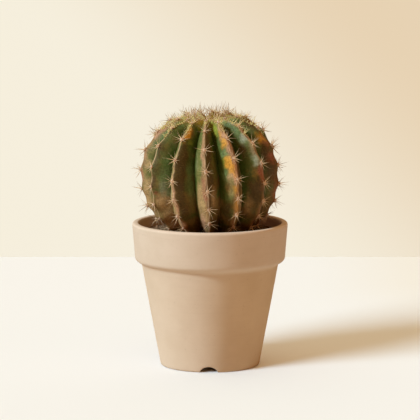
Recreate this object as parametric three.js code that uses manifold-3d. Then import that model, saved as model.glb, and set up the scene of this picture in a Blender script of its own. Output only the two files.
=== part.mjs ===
// A round, thirteen-ribbed cactus in a rimmed clay pot, with the potting soil that holds it.
// Millimetres, +Z up. The origin is the centre of the pot's foot, on the surface that it stands on,
// and -Y is the front. Three solids: the pot, the soil and the cactus with its felt pads and spines.
import * as THREE from "three";
import { mergeVertices } from "three/addons/utils/BufferGeometryUtils.js";
import Module from "manifold-3d";

// The pot: a tapered wall with a band at the rim, on a foot ring that three drain notches cross.
const POT_HEIGHT = 102;
const RIM_RADIUS = 55;
const LIP_ROUND = 2.1;
const INNER_LIP_ROUND = 0.9;
const BAND_TAPER = 0.078; // how much the band's radius falls for each millimetre down
const BAND_BOTTOM_Z = 75.4; // where the band's face would meet its slanted underside, if sharp
const BAND_CORNER_ROUND = 2.2;
const BODY_TOP_Z = 71.4; // where the body starts, under the band
const BODY_TAPER = 0.1845;
const FOOT_RADIUS = 35.05;
const FOOT_ROUND = 1.5;
const FOOT_INNER_RADIUS = 28;
const FOOT_INNER_SLOPE = 1; // how much wider the recess is at its mouth
const RECESS_DEPTH = 3.6;
const INNER_RIM_RADIUS = 50.6;
const INNER_TAPER = 0.2095;
const FLOOR_TOP_Z = 9;
const FLOOR_BEVEL = 2;
const DRAIN_RADIUS = 6;
const NOTCHES = 3;
const FRONT_NOTCH_ANGLE = -1.4; // degrees, measured from the front towards +X
const NOTCH_ROUND = 7.3; // radius of the round bar that shapes a notch
const NOTCH_HEIGHT = 4;
const NOTCH_OVERRUN = 3;
const POT_SIDES = 64;
const CURVE_STEPS = 4;

// The soil: fills the pot to a little below the lip, with a plain socket for the plant.
const SOIL_BELOW_RIM = 6.5;
const SOIL_EDGE_DROP = 0.8; // how much lower it lies at the wall
const SOIL_RELIEF = 0.7;
const SOIL_RINGS = 7;
const SOIL_SIDES = 44;
const GAP = 0.3; // clearance between pieces that touch

// The plant: a slightly flattened globe that leans to the front and to the left about its centre.
const GLOBE_RADIUS = 48.4;
const GLOBE_ABOVE = 44.6; // from the widest level to the top of the ribs
const GLOBE_BELOW = 47.1;
const GLOBE_SQUARENESS = 2.15; // exponent of the outline, 2 being an ellipse
const GLOBE_CENTRE_Z = 136.6;
const LEAN_FORWARD = 6.5; // degrees
const LEAN_LEFT = 2.9; // degrees
const CROWN_DIP = 4.2; // the growing point lies this far below the ribs' tops
const CROWN_DIP_RADIUS = 11;
const RIBS = 13;
const FRONT_RIB_ANGLE = -3.55; // degrees, measured as the notch's
const FURROW_DEPTH = 14; // at the widest level
const FURROW_POWER = 0.8; // how the furrows grow shallow with the globe's radius
const CREST_SOFTNESS = 0.12; // how round a rib's edge is, as a share of half a rib
const FLANK_POWER = 1.3; // over 1 makes the ribs' flanks swell outwards
const BODY_ROWS = 28;
const BODY_COLUMNS_PER_RIB = 6;
const MEANDER = 0.9; // degrees by which a rib wanders
const ROOT_RADIUS = 9;
const ROOT_TIP_RADIUS = 4.5;
const ROOT_TIP_Z = 66;
const ROOT_SUNK = 8; // how far the root reaches up into the globe
const ROOT_SIDES = 9;

// The felt pads, called areoles, stand along each rib. Their distance from the growing point,
// along the rib, is FIRST_PAD + PAD_STEP * n - PAD_STEP_LOSS * n * n for the n-th full-grown pad,
// and it shrinks by the same share from each pad to the next inside the crown.
const FIRST_PAD = 21;
const PAD_STEP = 17.7;
const PAD_STEP_LOSS = 0.55;
const CROWN_SHARE = 0.7;
const YOUNGEST_PAD = -2; // the lowest n, in the crown
const LOWEST_PAD_ABOVE_SOIL = 3.2;
const PAD_SWELL = 0.8; // how far a rib's edge rises to each pad

// Each pad and its spines are one star: the arms are the spines, the raised middle is the pad.
const SPINES_PER_PAD = 5;
const SPINE_LENGTH = 7;
const SPINE_SPREAD = 58; // degrees away from the skin's outward direction
const CROWN_SPINE_LENGTH = 9;
const CROWN_SPINE_SPREAD = 30;
const LENGTH_VARIETY = 0.28; // as a share of the length
const SPREAD_VARIETY = 14; // degrees
const PAD_TOP = 0.9;
const PAD_FOOT = 1;
const PAD_RADIUS = 0.8;
const LOWEST_TIP_ABOVE_SOIL = 2;
const SPINE_SEED = 20;

const CLAY = 0xcfae8c;
const DARK_SOIL = 0x2a1d14;
const SKIN = 0x4b5a2e;

const degrees = THREE.MathUtils.degToRad;
const wasm = await Module();
wasm.setup();

// A closed geometry as a manifold-3d solid.
function solidOf(geometry) {
  const bare = geometry.clone();
  bare.deleteAttribute("normal");
  bare.deleteAttribute("uv");
  const merged = mergeVertices(bare, 1e-4);
  return new wasm.Manifold(
    new wasm.Mesh({
      numProp: 3,
      vertProperties: merged.attributes.position.array,
      triVerts: new Uint32Array(merged.index.array),
    }),
  );
}

// A manifold-3d solid as a geometry.
function geometryOf(solid) {
  const mesh = solid.getMesh();
  const geometry = new THREE.BufferGeometry();
  geometry.setAttribute("position", new THREE.BufferAttribute(new Float32Array(mesh.vertProperties), 3));
  geometry.setIndex(new THREE.BufferAttribute(new Uint32Array(mesh.triVerts), 1));
  geometry.computeVertexNormals();
  return geometry;
}

// A profile of (radius, z) turned round the Z axis, its first column at the front.
function turned(profile, sides) {
  return new THREE.LatheGeometry(profile, sides).rotateX(Math.PI / 2);
}

function namedMesh(name, geometry, color, roughness) {
  const material = new THREE.MeshStandardMaterial({ color, roughness, metalness: 0 });
  const mesh = new THREE.Mesh(geometry, material);
  mesh.name = name;
  return mesh;
}

const bodyRadius = (z) => FOOT_RADIUS + BODY_TAPER * z;
const bandRadius = (z) => RIM_RADIUS - BAND_TAPER * (POT_HEIGHT - LIP_ROUND - z);
const innerRadius = (z) => INNER_RIM_RADIUS - INNER_TAPER * (POT_HEIGHT - z);

// The pot's section, from the drain hole out under the floor, up the outside and down the inside.
function potProfile() {
  const corner = new THREE.Vector2(bandRadius(BAND_BOTTOM_Z), BAND_BOTTOM_Z);
  const neck = new THREE.Vector2(bodyRadius(BODY_TOP_Z), BODY_TOP_Z);
  const underside = corner.clone().lerp(neck, BAND_CORNER_ROUND / corner.distanceTo(neck));
  const face = BAND_BOTTOM_Z + BAND_CORNER_ROUND;
  const section = new THREE.Path();
  section.moveTo(DRAIN_RADIUS, RECESS_DEPTH);
  section.lineTo(FOOT_INNER_RADIUS - FOOT_INNER_SLOPE, RECESS_DEPTH);
  section.lineTo(FOOT_INNER_RADIUS, 0);
  section.lineTo(FOOT_RADIUS - FOOT_ROUND, 0);
  section.quadraticCurveTo(FOOT_RADIUS, 0, bodyRadius(FOOT_ROUND), FOOT_ROUND);
  section.lineTo(neck.x, neck.y);
  section.lineTo(underside.x, underside.y);
  section.quadraticCurveTo(corner.x, corner.y, bandRadius(face), face);
  section.lineTo(bandRadius(POT_HEIGHT - LIP_ROUND), POT_HEIGHT - LIP_ROUND);
  section.quadraticCurveTo(RIM_RADIUS, POT_HEIGHT, RIM_RADIUS - LIP_ROUND, POT_HEIGHT);
  section.lineTo(INNER_RIM_RADIUS + INNER_LIP_ROUND, POT_HEIGHT);
  section.lineTo(innerRadius(POT_HEIGHT - INNER_LIP_ROUND), POT_HEIGHT - INNER_LIP_ROUND);
  section.lineTo(innerRadius(FLOOR_TOP_Z + FLOOR_BEVEL), FLOOR_TOP_Z + FLOOR_BEVEL);
  section.lineTo(innerRadius(FLOOR_TOP_Z) - FLOOR_BEVEL, FLOOR_TOP_Z);
  section.lineTo(DRAIN_RADIUS, FLOOR_TOP_Z);
  section.lineTo(DRAIN_RADIUS, RECESS_DEPTH);
  return section.getPoints(CURVE_STEPS);
}

// A round bar that lies across the foot ring and cuts one drain notch.
function notchBar(angle) {
  const length = FOOT_RADIUS - FOOT_INNER_RADIUS + 2 * NOTCH_OVERRUN;
  const bar = new THREE.CylinderGeometry(NOTCH_ROUND, NOTCH_ROUND, length, 24);
  bar.translate(0, -(FOOT_INNER_RADIUS + FOOT_RADIUS) / 2, NOTCH_HEIGHT - NOTCH_ROUND);
  return bar.rotateZ(degrees(angle));
}

function makePot() {
  let pot = solidOf(turned(potProfile(), POT_SIDES));
  for (let i = 0; i < NOTCHES; i++) {
    pot = pot.subtract(solidOf(notchBar(FRONT_NOTCH_ANGLE + (360 * i) / NOTCHES)));
  }
  return namedMesh("pot", geometryOf(pot), CLAY, 0.85);
}

// The globe's outline at a share of the way from the top (0) to the bottom (1), as radius and height.
function outline(share) {
  const angle = Math.PI * (0.5 - share);
  const power = 2 / GLOBE_SQUARENESS;
  const reach = angle >= 0 ? GLOBE_ABOVE : GLOBE_BELOW;
  const radius = GLOBE_RADIUS * Math.abs(Math.cos(angle)) ** power;
  const dip = CROWN_DIP * Math.exp(-((radius / CROWN_DIP_RADIUS) ** 2)) * (angle > 0 ? 1 : 0);
  const height = reach * Math.abs(Math.sin(angle)) ** power * Math.sign(angle) - dip;
  return new THREE.Vector2(share >= 1 || share <= 0 ? 0 : radius, height);
}

// Distances along the outline, measured once, so that a pad's distance can be turned into a share.
const OUTLINE_STEPS = 1200;
const travelled = [0];
for (let i = 1; i <= OUTLINE_STEPS; i++) {
  const step = outline(i / OUTLINE_STEPS).distanceTo(outline((i - 1) / OUTLINE_STEPS));
  travelled.push(travelled[i - 1] + step);
}
const distanceAt = (share) => travelled[Math.round(share * OUTLINE_STEPS)];
const shareAt = (distance) => travelled.findIndex((d) => d >= distance) / OUTLINE_STEPS;

// How far along its rib the n-th pad stands, and the n that belongs to a distance.
function padDistance(n) {
  if (n < 0) return FIRST_PAD * Math.exp(CROWN_SHARE * n);
  return FIRST_PAD + PAD_STEP * n - PAD_STEP_LOSS * n * n;
}
function padNumber(distance) {
  if (distance < FIRST_PAD) return Math.log(Math.max(distance, 1) / FIRST_PAD) / CROWN_SHARE;
  const root = Math.sqrt(PAD_STEP ** 2 - 4 * PAD_STEP_LOSS * (distance - FIRST_PAD));
  return (PAD_STEP - root) / (2 * PAD_STEP_LOSS);
}

// Ribs are counted -6 to 6 from the front one, and every other rib has its pads half a step on.
const ribNumber = (turn) => turn - RIBS * Math.round(turn / RIBS);
const padOffset = (rib) => (Math.abs(rib) % 2 === 0 ? 0.5 : 0);

// A point of the skin, in the globe's own frame. across counts ribs round the globe, whole numbers
// being crests and halves furrows, and grow moves the point outwards.
function skinPoint(across, share, grow = 0) {
  const here = outline(share);
  const ahead = outline(Math.min(share + 0.004, 1));
  const behind = outline(Math.max(share - 0.004, 0));
  const along = ahead.sub(behind).normalize();
  const distance = distanceAt(share);
  const rib = ribNumber(Math.round(across));
  const q = Math.abs(across - Math.round(across)) * 2;
  const soft = Math.hypot(q, CREST_SOFTNESS) - CREST_SOFTNESS;
  const flank = (soft / (Math.hypot(1, CREST_SOFTNESS) - CREST_SOFTNESS)) ** FLANK_POWER;
  const furrow = FURROW_DEPTH * (here.x / GLOBE_RADIUS) ** FURROW_POWER * flank;
  const wave = Math.cos(2 * Math.PI * (padNumber(distance) - padOffset(rib)));
  const swell = PAD_SWELL * wave * Math.min(1, here.x / 25) * (1 - q * q);
  const inset = furrow - swell - grow;
  const radius = here.x > 0 ? here.x + along.y * inset : 0;
  const height = here.y - along.x * inset;
  const turn = (2 * Math.PI * across) / RIBS;
  const wander = degrees(MEANDER) * Math.sin(distance / 14 + 3.7 * Math.sin(turn) + 1.9 * Math.cos(2 * turn));
  const angle = degrees(FRONT_RIB_ANGLE) + turn + wander;
  return new THREE.Vector3(radius * Math.sin(angle), -radius * Math.cos(angle), height);
}

// Takes a geometry or a point from the globe's frame to the pot's.
const leaning = new THREE.Matrix4()
  .makeTranslation(0, 0, GLOBE_CENTRE_Z)
  .multiply(new THREE.Matrix4().makeRotationY(degrees(-LEAN_LEFT)))
  .multiply(new THREE.Matrix4().makeRotationX(degrees(LEAN_FORWARD)));

// The ribbed globe: a turned outline whose every point is then set on the skin.
function bodyGeometry(grow = 0) {
  const shares = Array.from({ length: BODY_ROWS + 1 }, (_, i) => 1 - i / BODY_ROWS);
  const globe = turned(shares.map(outline), RIBS * BODY_COLUMNS_PER_RIB);
  const { position, uv } = globe.attributes;
  for (let i = 0; i < position.count; i++) {
    const point = skinPoint((uv.getX(i) % 1) * RIBS, 1 - uv.getY(i), grow);
    position.setXYZ(i, point.x, point.y, point.z);
  }
  return globe;
}

// The short woody root under the globe, upright in the soil.
function rootGeometry(grow = 0) {
  const base = new THREE.Vector3(0, 0, -GLOBE_BELOW).applyMatrix4(leaning);
  const [low, high] = [ROOT_TIP_Z - grow, base.z + ROOT_SUNK];
  const root = new THREE.CylinderGeometry(ROOT_RADIUS + grow, ROOT_TIP_RADIUS + grow, high - low, ROOT_SIDES);
  return root.rotateX(Math.PI / 2).translate(base.x, base.y, (low + high) / 2);
}

// A frame on the skin at a pad: its place, the outward direction and the direction down the rib.
function padFrame(rib, n) {
  const share = shareAt(padDistance(n));
  const place = skinPoint(rib, share);
  const down = skinPoint(rib, share + 0.01).sub(skinPoint(rib, share - 0.01)).normalize();
  const side = new THREE.Vector3(-place.y, place.x, 0).normalize();
  const out = new THREE.Vector3().crossVectors(down, side).normalize();
  return { rib, n, place, out, down };
}

// Every pad of every rib, from the crown to just above the soil.
const SOIL_TOP_Z = POT_HEIGHT - SOIL_BELOW_RIM;
function allPads() {
  const pads = [];
  for (let rib = -(RIBS - 1) / 2; rib <= (RIBS - 1) / 2; rib++) {
    for (let n = YOUNGEST_PAD + padOffset(rib); n < 8; n++) {
      const pad = padFrame(rib, n);
      const height = pad.place.clone().applyMatrix4(leaning).z;
      if (height > SOIL_TOP_Z + LOWEST_PAD_ABOVE_SOIL) pads.push(pad);
    }
  }
  return pads;
}

// A small generator of even random numbers from 0 to 1, always the same for the same seed.
function randomFrom(seed) {
  let state = seed;
  return () => {
    state = (state * 16807) % 2147483647;
    return state / 2147483647;
  };
}

// The spines of a pad, each as a tip measured from the pad's place. A tip that would meet the soil
// is lifted clear of it.
function spineTips(pad, random) {
  const young = THREE.MathUtils.clamp(-pad.n, 0, 1);
  const usualSpread = THREE.MathUtils.lerp(SPINE_SPREAD, CROWN_SPINE_SPREAD, young);
  const usualLength = THREE.MathUtils.lerp(SPINE_LENGTH, CROWN_SPINE_LENGTH, young);
  const side = new THREE.Vector3().crossVectors(pad.out, pad.down);
  const tips = [];
  for (let i = 0; i < SPINES_PER_PAD; i++) {
    const turn = (2 * Math.PI * (i + 0.4 * (random() - 0.5))) / SPINES_PER_PAD;
    const spread = degrees(usualSpread + SPREAD_VARIETY * (random() - 0.5));
    const length = usualLength * (1 + LENGTH_VARIETY * (random() - 0.5));
    const tip = pad.out.clone().multiplyScalar(length * Math.cos(spread));
    tip.addScaledVector(pad.down, length * Math.sin(spread) * Math.cos(turn));
    tip.addScaledVector(side, length * Math.sin(spread) * Math.sin(turn));
    const height = tip.clone().add(pad.place).applyMatrix4(leaning).z;
    tip.z += Math.max(0, SOIL_TOP_Z + LOWEST_TIP_ABOVE_SOIL - height);
    tips.push(tip);
  }
  return tips;
}

// A pad with its spines: a cone whose foot is drawn out to a star, so that every second point of
// the foot is a spine's tip. The foot's middle is sunk in the rib.
function starGeometry(pad, random) {
  const side = new THREE.Vector3().crossVectors(pad.out, pad.down);
  const tips = spineTips(pad, random);
  const star = new THREE.ConeGeometry(1, 1, 2 * SPINES_PER_PAD);
  const { position } = star.attributes;
  for (let i = 0; i < position.count; i++) {
    const [x, y, z] = [position.getX(i), position.getY(i), position.getZ(i)];
    const corner = Math.round((Math.atan2(x, z) / Math.PI) * SPINES_PER_PAD) + 2 * SPINES_PER_PAD;
    const point = new THREE.Vector3();
    if (y > 0) point.addScaledVector(pad.out, PAD_TOP);
    else if (Math.hypot(x, z) < 0.5) point.addScaledVector(pad.out, -PAD_FOOT);
    else if (corner % 2 === 0) point.copy(tips[(corner / 2) % SPINES_PER_PAD]);
    else {
      const angle = (corner * Math.PI) / SPINES_PER_PAD;
      point.addScaledVector(pad.down, PAD_RADIUS * Math.cos(angle));
      point.addScaledVector(side, PAD_RADIUS * Math.sin(angle));
    }
    position.setXYZ(i, pad.place.x + point.x, pad.place.y + point.y, pad.place.z + point.z);
  }
  return star;
}

// The whole plant as one solid.
function makeCactus() {
  const random = randomFrom(SPINE_SEED);
  const grown = [bodyGeometry().applyMatrix4(leaning), rootGeometry()];
  for (const pad of allPads()) grown.push(starGeometry(pad, random).applyMatrix4(leaning));
  return namedMesh("cactus", geometryOf(wasm.Manifold.union(grown.map(solidOf))), SKIN, 0.6);
}

// How far the soil's top rises at a place: two waves that cross, and a shorter one on the slant.
function soilRelief(x, y) {
  const crossed = Math.sin(0.6 * x + 1.3) * Math.sin(0.5 * y + 0.4);
  return SOIL_RELIEF * (crossed + 0.6 * Math.sin(1.7 * x - 1.4 * y));
}

// The soil: a plug with an uneven top that fits the pot's inside, less a socket for the plant.
function makeSoil() {
  const [low, edge] = [FLOOR_TOP_Z + GAP, SOIL_TOP_Z - SOIL_EDGE_DROP];
  const reach = innerRadius(edge) - GAP;
  const section = [
    new THREE.Vector2(0, low),
    new THREE.Vector2(innerRadius(FLOOR_TOP_Z) - FLOOR_BEVEL - GAP, low),
    new THREE.Vector2(innerRadius(low + FLOOR_BEVEL) - GAP, low + FLOOR_BEVEL),
  ];
  for (let i = 0; i <= SOIL_RINGS; i++) section.push(new THREE.Vector2(reach * (1 - i / SOIL_RINGS), edge));
  const plug = turned(section, SOIL_SIDES);
  const { position } = plug.attributes;
  for (let i = 0; i < position.count; i++) {
    const [x, y, z] = [position.getX(i), position.getY(i), position.getZ(i)];
    if (z < edge - GAP) continue;
    const inward = 1 - Math.min(1, Math.hypot(x, y) / reach) ** 6;
    position.setZ(i, z + inward * (SOIL_EDGE_DROP + soilRelief(x, y)));
  }
  const socket = solidOf(bodyGeometry(GAP).applyMatrix4(leaning)).add(solidOf(rootGeometry(GAP)));
  return namedMesh("soil", geometryOf(solidOf(plug).subtract(socket)), DARK_SOIL, 1);
}

const group = new THREE.Group();
group.add(makePot(), makeSoil(), makeCactus());
export default group;
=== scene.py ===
"""A potted round cactus: the pieces that are seen, their finishes, the floor, the light and the
camera. Metres, +Z up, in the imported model's own frame, with -Y at the front."""

import math

import bpy
import numpy as np
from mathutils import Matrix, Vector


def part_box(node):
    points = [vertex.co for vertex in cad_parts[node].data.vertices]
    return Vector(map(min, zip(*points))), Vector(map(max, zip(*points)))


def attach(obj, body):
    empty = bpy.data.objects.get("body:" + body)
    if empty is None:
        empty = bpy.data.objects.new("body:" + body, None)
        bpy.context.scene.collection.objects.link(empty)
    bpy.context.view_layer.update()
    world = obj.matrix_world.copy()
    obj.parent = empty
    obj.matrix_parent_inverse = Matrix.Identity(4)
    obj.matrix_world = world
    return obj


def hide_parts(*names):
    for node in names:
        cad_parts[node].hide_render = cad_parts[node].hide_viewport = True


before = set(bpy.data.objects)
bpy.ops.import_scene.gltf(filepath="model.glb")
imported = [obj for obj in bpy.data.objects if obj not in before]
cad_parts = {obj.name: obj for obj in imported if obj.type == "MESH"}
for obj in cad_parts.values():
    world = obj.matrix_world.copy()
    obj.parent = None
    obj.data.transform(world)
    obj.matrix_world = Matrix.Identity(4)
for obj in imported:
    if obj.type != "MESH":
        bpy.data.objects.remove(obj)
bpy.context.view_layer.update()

bl_info = {
    "name": "Potted round cactus",
    "version": (1, 0, 0),
    "blender": (4, 5, 0),
    "location": "3D View > Sidebar > Cactus",
    "description": "Makes a ribbed globe cactus in a clay pot, piece by piece",
    "category": "Add Mesh",
}

MM = 0.001
SOIL_SEED, PAD_SEED, SPINE_SEED, CROWN_SEED, BLOTCH_SEED = 11, 21, 33, 42, 8

# The pot's section, as in the solids.
POT_HEIGHT = 102 * MM
BAND_TAPER = 0.078  # how much the band's radius falls for each unit down
BAND_BOTTOM_Z = 75.4 * MM
BAND_CORNER_ROUND = 2.1 * MM
BODY_TOP_Z = 72.8 * MM
BODY_TAPER = 0.1845
NECK_ROUND = 2.0 * MM
LIP_ROUND = 2.1 * MM
INNER_LIP_ROUND = 1.3 * MM
FOOT_RADIUS = 35.05 * MM
FOOT_ROUND = 1.5 * MM
FOOT_INNER_RADIUS = 28 * MM
FOOT_INNER_SLOPE = 1 * MM
RECESS_DEPTH = 3.6 * MM
INNER_RIM_RADIUS = 50.6 * MM
INNER_TAPER = 0.2095
FLOOR_TOP_Z = 9 * MM
FLOOR_BEVEL = 2 * MM
DRAIN_RADIUS = 6 * MM
SMALL_ROUND = 0.4 * MM
NOTCHES = 3
FRONT_NOTCH_ANGLE = -1.4  # degrees, from the front towards +X
NOTCH_ROUND = 7.3 * MM
NOTCH_HEIGHT = 4 * MM
NOTCH_REACH = 3 * MM  # how far inside the foot ring a notch still cuts
NOTCH_FADE = 8 * MM  # the wall's rows are drawn together up to this height
SCORED_LINE_Z = 97.6 * MM
BAND_Z = (70 * MM, 76 * MM)  # where the body's tone turns to the band's
# The lip's paler tone, which begins at the next heights, is a painted highlight.
LIP_HIGHLIGHT_Z = (99.8 * MM, 101.4 * MM)  # and the band's to the lip's
POT_COLUMNS = 400
NOTCH_CROWDING = 2.4  # what a notch adds to the columns' density, which is 1 elsewhere
NOTCH_CROWDING_WIDTH = 0.2  # radians
POT_ROW_STEP = 2 * MM
POT_WOBBLE = 0.08 * MM

# The soil, as in the solids, with finer lumps.
SOIL_BELOW_RIM = 6.5 * MM
SOIL_EDGE_DROP = 0.8 * MM
SOIL_TOP_Z = POT_HEIGHT - SOIL_BELOW_RIM
SOIL_RELIEF = 0.7 * MM
CLOD_RELIEF = 0.22 * MM
CLOD_SIZE = 2.6 * MM
GAP = 0.3 * MM
SOIL_ROWS = 44
SOCKET_ROWS = 16
SOCKET_START = 70 * MM  # the skin meets the soil further along the outline than this
SOCKET_GAP = 11.5 * MM  # how far short of the globe's lowest point the socket's rows end
FIBRES = 46

# The globe, as in the solids but for the dip, the back of the crown, the low furrows and the
# ribs' shifts.
GLOBE_RADIUS = 48.4 * MM
GLOBE_ABOVE = 44.6 * MM
GLOBE_BELOW = 47.1 * MM
GLOBE_SQUARENESS = 2.15
GLOBE_CENTRE_Z = 136.6 * MM
LEAN_FORWARD = 6.5  # degrees
LEAN_LEFT = 2.9  # degrees
CROWN_DIP = 5.2 * MM
CROWN_DIP_RADIUS = 14 * MM
RIBS = 13
FRONT_RIB_ANGLE = -3.55  # degrees
FURROW_POWER = 0.8
CREST_SOFTNESS = 0.12
FLANK_POWER = 1.3
LOW_SHALLOWNESS = 0.25  # the share of their depth that the furrows lose towards the soil
LOW_START = 70 * MM  # where they begin to lose it, along the outline
LOW_FADE = 30 * MM
MEANDER = 0.9  # degrees
MEANDER_LENGTH = 14 * MM
SHIFTED_RIBS = (-3, -2, -1, 0, 1, 2, 3, 4)
RIB_SHIFTS = (0, 0.3, -0.3, 0.4, -1.8, -2.3, 0, 0)  # degrees to the right
BACK_REACH = 34 * MM  # how far from the growing point the crown's back reaches
BACK_TWIST = 6.5  # degrees that the ribs turn by there
BACK_SHALLOWNESS = 0.6  # the share of their depth that the furrows lose there
BACK_SINK = 1.2 * MM
ROOT_RADIUS = 9 * MM
ROOT_TIP_RADIUS = 4.5 * MM
ROOT_TIP_Z = 66 * MM
ROOT_SUNK = 8 * MM
PAD_SWELL = 0.52 * MM
SWELL_RADIUS = 25 * MM  # nearer to the axis than this, the swell fades
SLOPE_STEP = 0.004  # the share of the outline over which its direction is taken
SKIN_COLUMNS_PER_RIB = 28
COLUMN_CROWDING = 0.055  # ribs by which columns move towards a crest or a furrow
SKIN_ROW_STEP = 0.62 * MM
FINE_SKIN_LENGTH = 128 * MM  # the rest lies at or under the soil, and needs few rows
COARSE_SKIN_ROWS = 10
POLE_GAP = 0.8 * MM  # between a pole and its nearest row
STREAK_WIDTH = 20 * MM  # what a rib's width counts as where streaks are drawn
CORK_RELIEF = 0.14 * MM  # how proud the corky band stands along a rib's edge
DENT = 0.3 * MM

# The felt pads stand along each rib, a little closer together than in the solids, with more young
# ones in the crown.
FIRST_PAD = 21 * MM
PAD_STEP = 17.1 * MM
PAD_STEP_LOSS = 0.50 * MM
CROWN_SHARE = 0.52
YOUNGEST_PAD = -1.6
YOUNGEST_FELT = -0.8
LOWEST_PAD_ABOVE_SOIL = 1.2 * MM
PAD_HALF_WIDTH = 1.1 * MM
PAD_HALF_LENGTH = 1.4 * MM
PAD_HEIGHT = 0.95 * MM
FUZZ_PER_PAD = 26
CENTRAL_SPINES = 2
SIDE_TILT, CENTRAL_TILT = 68, 22  # degrees from the pad's outward direction
YOUNG_SIDE_TILT, YOUNG_CENTRAL_TILT = 40, 12
TILT_SPREAD = 22  # degrees, from the least to the greatest
SPINE_ABOVE_SOIL = 1.5 * MM
CROWN_TUFTS = 620
CROWN_WOOL = 2600
CROWN_SPINES = 190

# Tones of parts of a piece. Those of whole pieces are among the settings below.
SPINE_TIP = (0.35, 0.205, 0.10)
SPINE_DARK = (0.20, 0.115, 0.055)
YOUNG_SKIN = (0.54, 0.41, 0.085)  # in the crown
WORN_RIDGE = (0.55, 0.36, 0.19)
# Painted light on the soil's left side.
PAINTED_LIGHT_SOIL = (0.33, 0.19, 0.10)  # on the left

# The tones of the blotches on the skin, in the order in which they cover each other.
TONES = {
    "green": (0.130, 0.165, 0.045),
    "olive": (0.20, 0.150, 0.036),
    "lime": (0.26, 0.25, 0.022),
    # Brown stands partly for painted shade, on the right flanks.
    "brown": (0.078, 0.041, 0.008),
    "tan": (0.41, 0.225, 0.080),
    "pink": (0.48, 0.225, 0.105),
    # A pale bloom, and partly a painted highlight on the lit flanks.
    "bloom_and_highlight": (0.31, 0.29, 0.165),
    "amber": (0.60, 0.240, 0.022),
    "rust": (0.27, 0.080, 0.032),
}
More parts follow.
